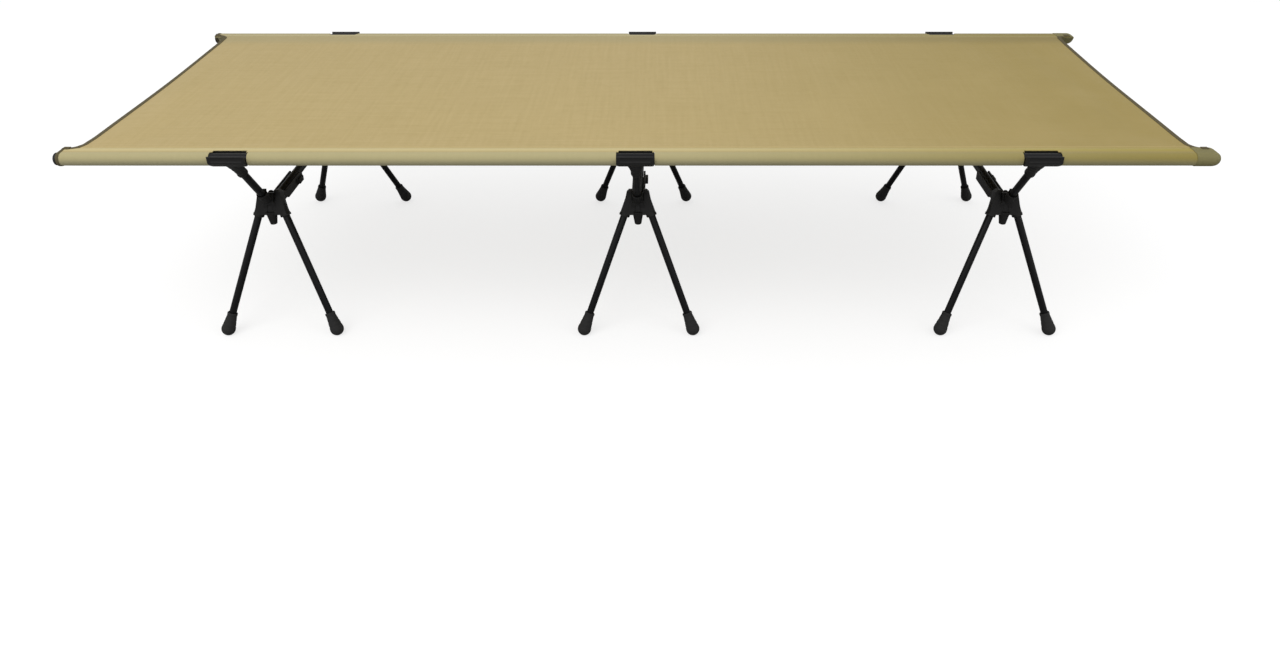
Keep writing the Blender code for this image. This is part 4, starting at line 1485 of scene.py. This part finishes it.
class COT_OT_stage(bpy.types.Operator):
    """Lays the floor, hangs the lamps and sets the camera where the picture was taken from."""

    bl_idname = "cot.stage"
    bl_label = "Stage"

    def execute(self, context):
        stage = context.scene.cot_stage
        self.floor(stage)
        self.world(stage)
        lamp("key_softbox", place=(-1.6, -2.2, 3.2), power=60, width=3.2, height=2.4)
        lamp("fill_softbox", place=(2.6, -1.2, 2.6), power=22, width=2.6, height=2.6)
        camera = bpy.data.cameras.new("camera")
        camera.sensor_width = 36
        camera.lens = stage.lens
        camera.shift_x, camera.shift_y = EYE_SHIFT
        camera.clip_end = 100
        eye = bpy.data.objects.new("camera", camera)
        context.scene.collection.objects.link(eye)
        eye.location = EYE
        eye.rotation_euler = (math.radians(90 - EYE_TILT), 0, 0)
        context.scene.camera = eye
        context.scene.view_settings.view_transform = "Standard"
        return {"FINISHED"}

    def floor(self, stage):
        """A plain floor that glows to the camera, so that it looks pale and still holds the shadow."""
        deselect()
        bpy.ops.mesh.primitive_plane_add(size=30)
        floor = named("floor")
        finish = Finish("pale_floor")
        seen = finish.add("ShaderNodeLightPath", output=0)
        glow = (stage.glow, stage.glow, stage.glow, 1)
        lit, looked_at = 0.35, 0.37
        base = finish.mix(seen, opaque(stage.floor, lit), opaque(stage.floor, looked_at))
        finish.set(Base_Color=base)
        finish.set(Emission_Color=finish.mix(seen, (0, 0, 0, 1), glow), Emission_Strength=1.0)
        finish.set(Roughness=0.9, Specular_IOR_Level=0.0)
        floor.data.materials.append(finish.material)

    def world(self, stage):
        """Even daylight that the camera sees as white."""
        world = bpy.data.worlds.new("daylight")
        world.use_nodes = True
        bpy.context.scene.world = world
        tree = world.node_tree
        shade = tree.nodes["Background"]
        shade.inputs["Color"].default_value = (1, 1, 1, 1)
        shade.inputs["Strength"].default_value = stage.daylight
        white = tree.nodes.new("ShaderNodeBackground")
        white.inputs["Color"].default_value = (1, 1, 1, 1)
        ray = tree.nodes.new("ShaderNodeLightPath")
        mixed = tree.nodes.new("ShaderNodeMixShader")
        tree.links.new(ray.outputs["Is Camera Ray"], mixed.inputs[0])
        tree.links.new(shade.outputs[0], mixed.inputs[1])
        tree.links.new(white.outputs[0], mixed.inputs[2])
        tree.links.new(mixed.outputs[0], tree.nodes["World Output"].inputs["Surface"])


class COT_OT_declare_cloth(bpy.types.Operator):
    bl_idname = "cot.declare_cloth"
    bl_label = "Declare the cloth"

    def execute(self, context):
        names = []
        for side in SIDES:
            names += [f"{side}_sleeve_{part}" for part in ("mouth_binding", "pocket_end", "stitching")]
            for end in ENDS:
                names += [f"{side}_{end}_{part}" for part in ("corner_patch", "bar_tack")]
        for end in ENDS:
            names += [f"{end}_hem_{part}" for part in ("binding", "stitching")]
        length = 2 * SLEEVE_END
        cut_out = 4 * (SLEEVE_END - HEM_X) * (RAIL_Y - SEAM_EDGE)
        FLAT_WIDTH * length - cut_out
        return {"FINISHED"}


class COT_PT_panel(bpy.types.Panel):
    """The cot's settings and pieces."""

    bl_idname = "COT_PT_panel"
    bl_label = "Camping cot"
    bl_space_type = "VIEW_3D"
    bl_region_type = "UI"
    bl_category = "Cot"

    def draw(self, context):
        scene = context.scene
        for settings in (scene.cot_cloth, scene.cot_hardware, scene.cot_stage):
            box = self.layout.box()
            for name in settings.__annotations__:
                box.prop(settings, name)
        for operator in OPERATORS:
            self.layout.operator(operator.bl_idname)


SETTINGS = {"cot_cloth": ClothSettings, "cot_hardware": HardwareSettings, "cot_stage": StageSettings}
OPERATORS = (
    COT_OT_stage,
    COT_OT_side_poles,
    COT_OT_tubes,
    COT_OT_feet,
    COT_OT_mouldings,
    COT_OT_bed_cloth,
    COT_OT_sleeve_ends,
    COT_OT_hems,
    COT_OT_stitching,
    COT_OT_corner_patches,
    COT_OT_declare_cloth,
)


def register():
    for cls in (*SETTINGS.values(), *OPERATORS, COT_PT_panel):
        bpy.utils.register_class(cls)
    for name, cls in SETTINGS.items():
        setattr(bpy.types.Scene, name, bpy.props.PointerProperty(type=cls))


def unregister():
    for name in SETTINGS:
        delattr(bpy.types.Scene, name)
    for cls in (COT_PT_panel, *reversed(OPERATORS), *reversed(list(SETTINGS.values()))):
        bpy.utils.unregister_class(cls)


def main():
    register()
    bpy.ops.cot.stage()
    bpy.ops.cot.side_poles()
    bpy.ops.cot.tubes()
    bpy.ops.cot.feet()
    bpy.ops.cot.mouldings()
    bpy.ops.cot.bed_cloth()
    bpy.ops.cot.sleeve_ends()
    bpy.ops.cot.hems()
    bpy.ops.cot.stitching()
    bpy.ops.cot.corner_patches()
    bpy.ops.cot.declare_cloth()


if __name__ == "__main__":
    main()
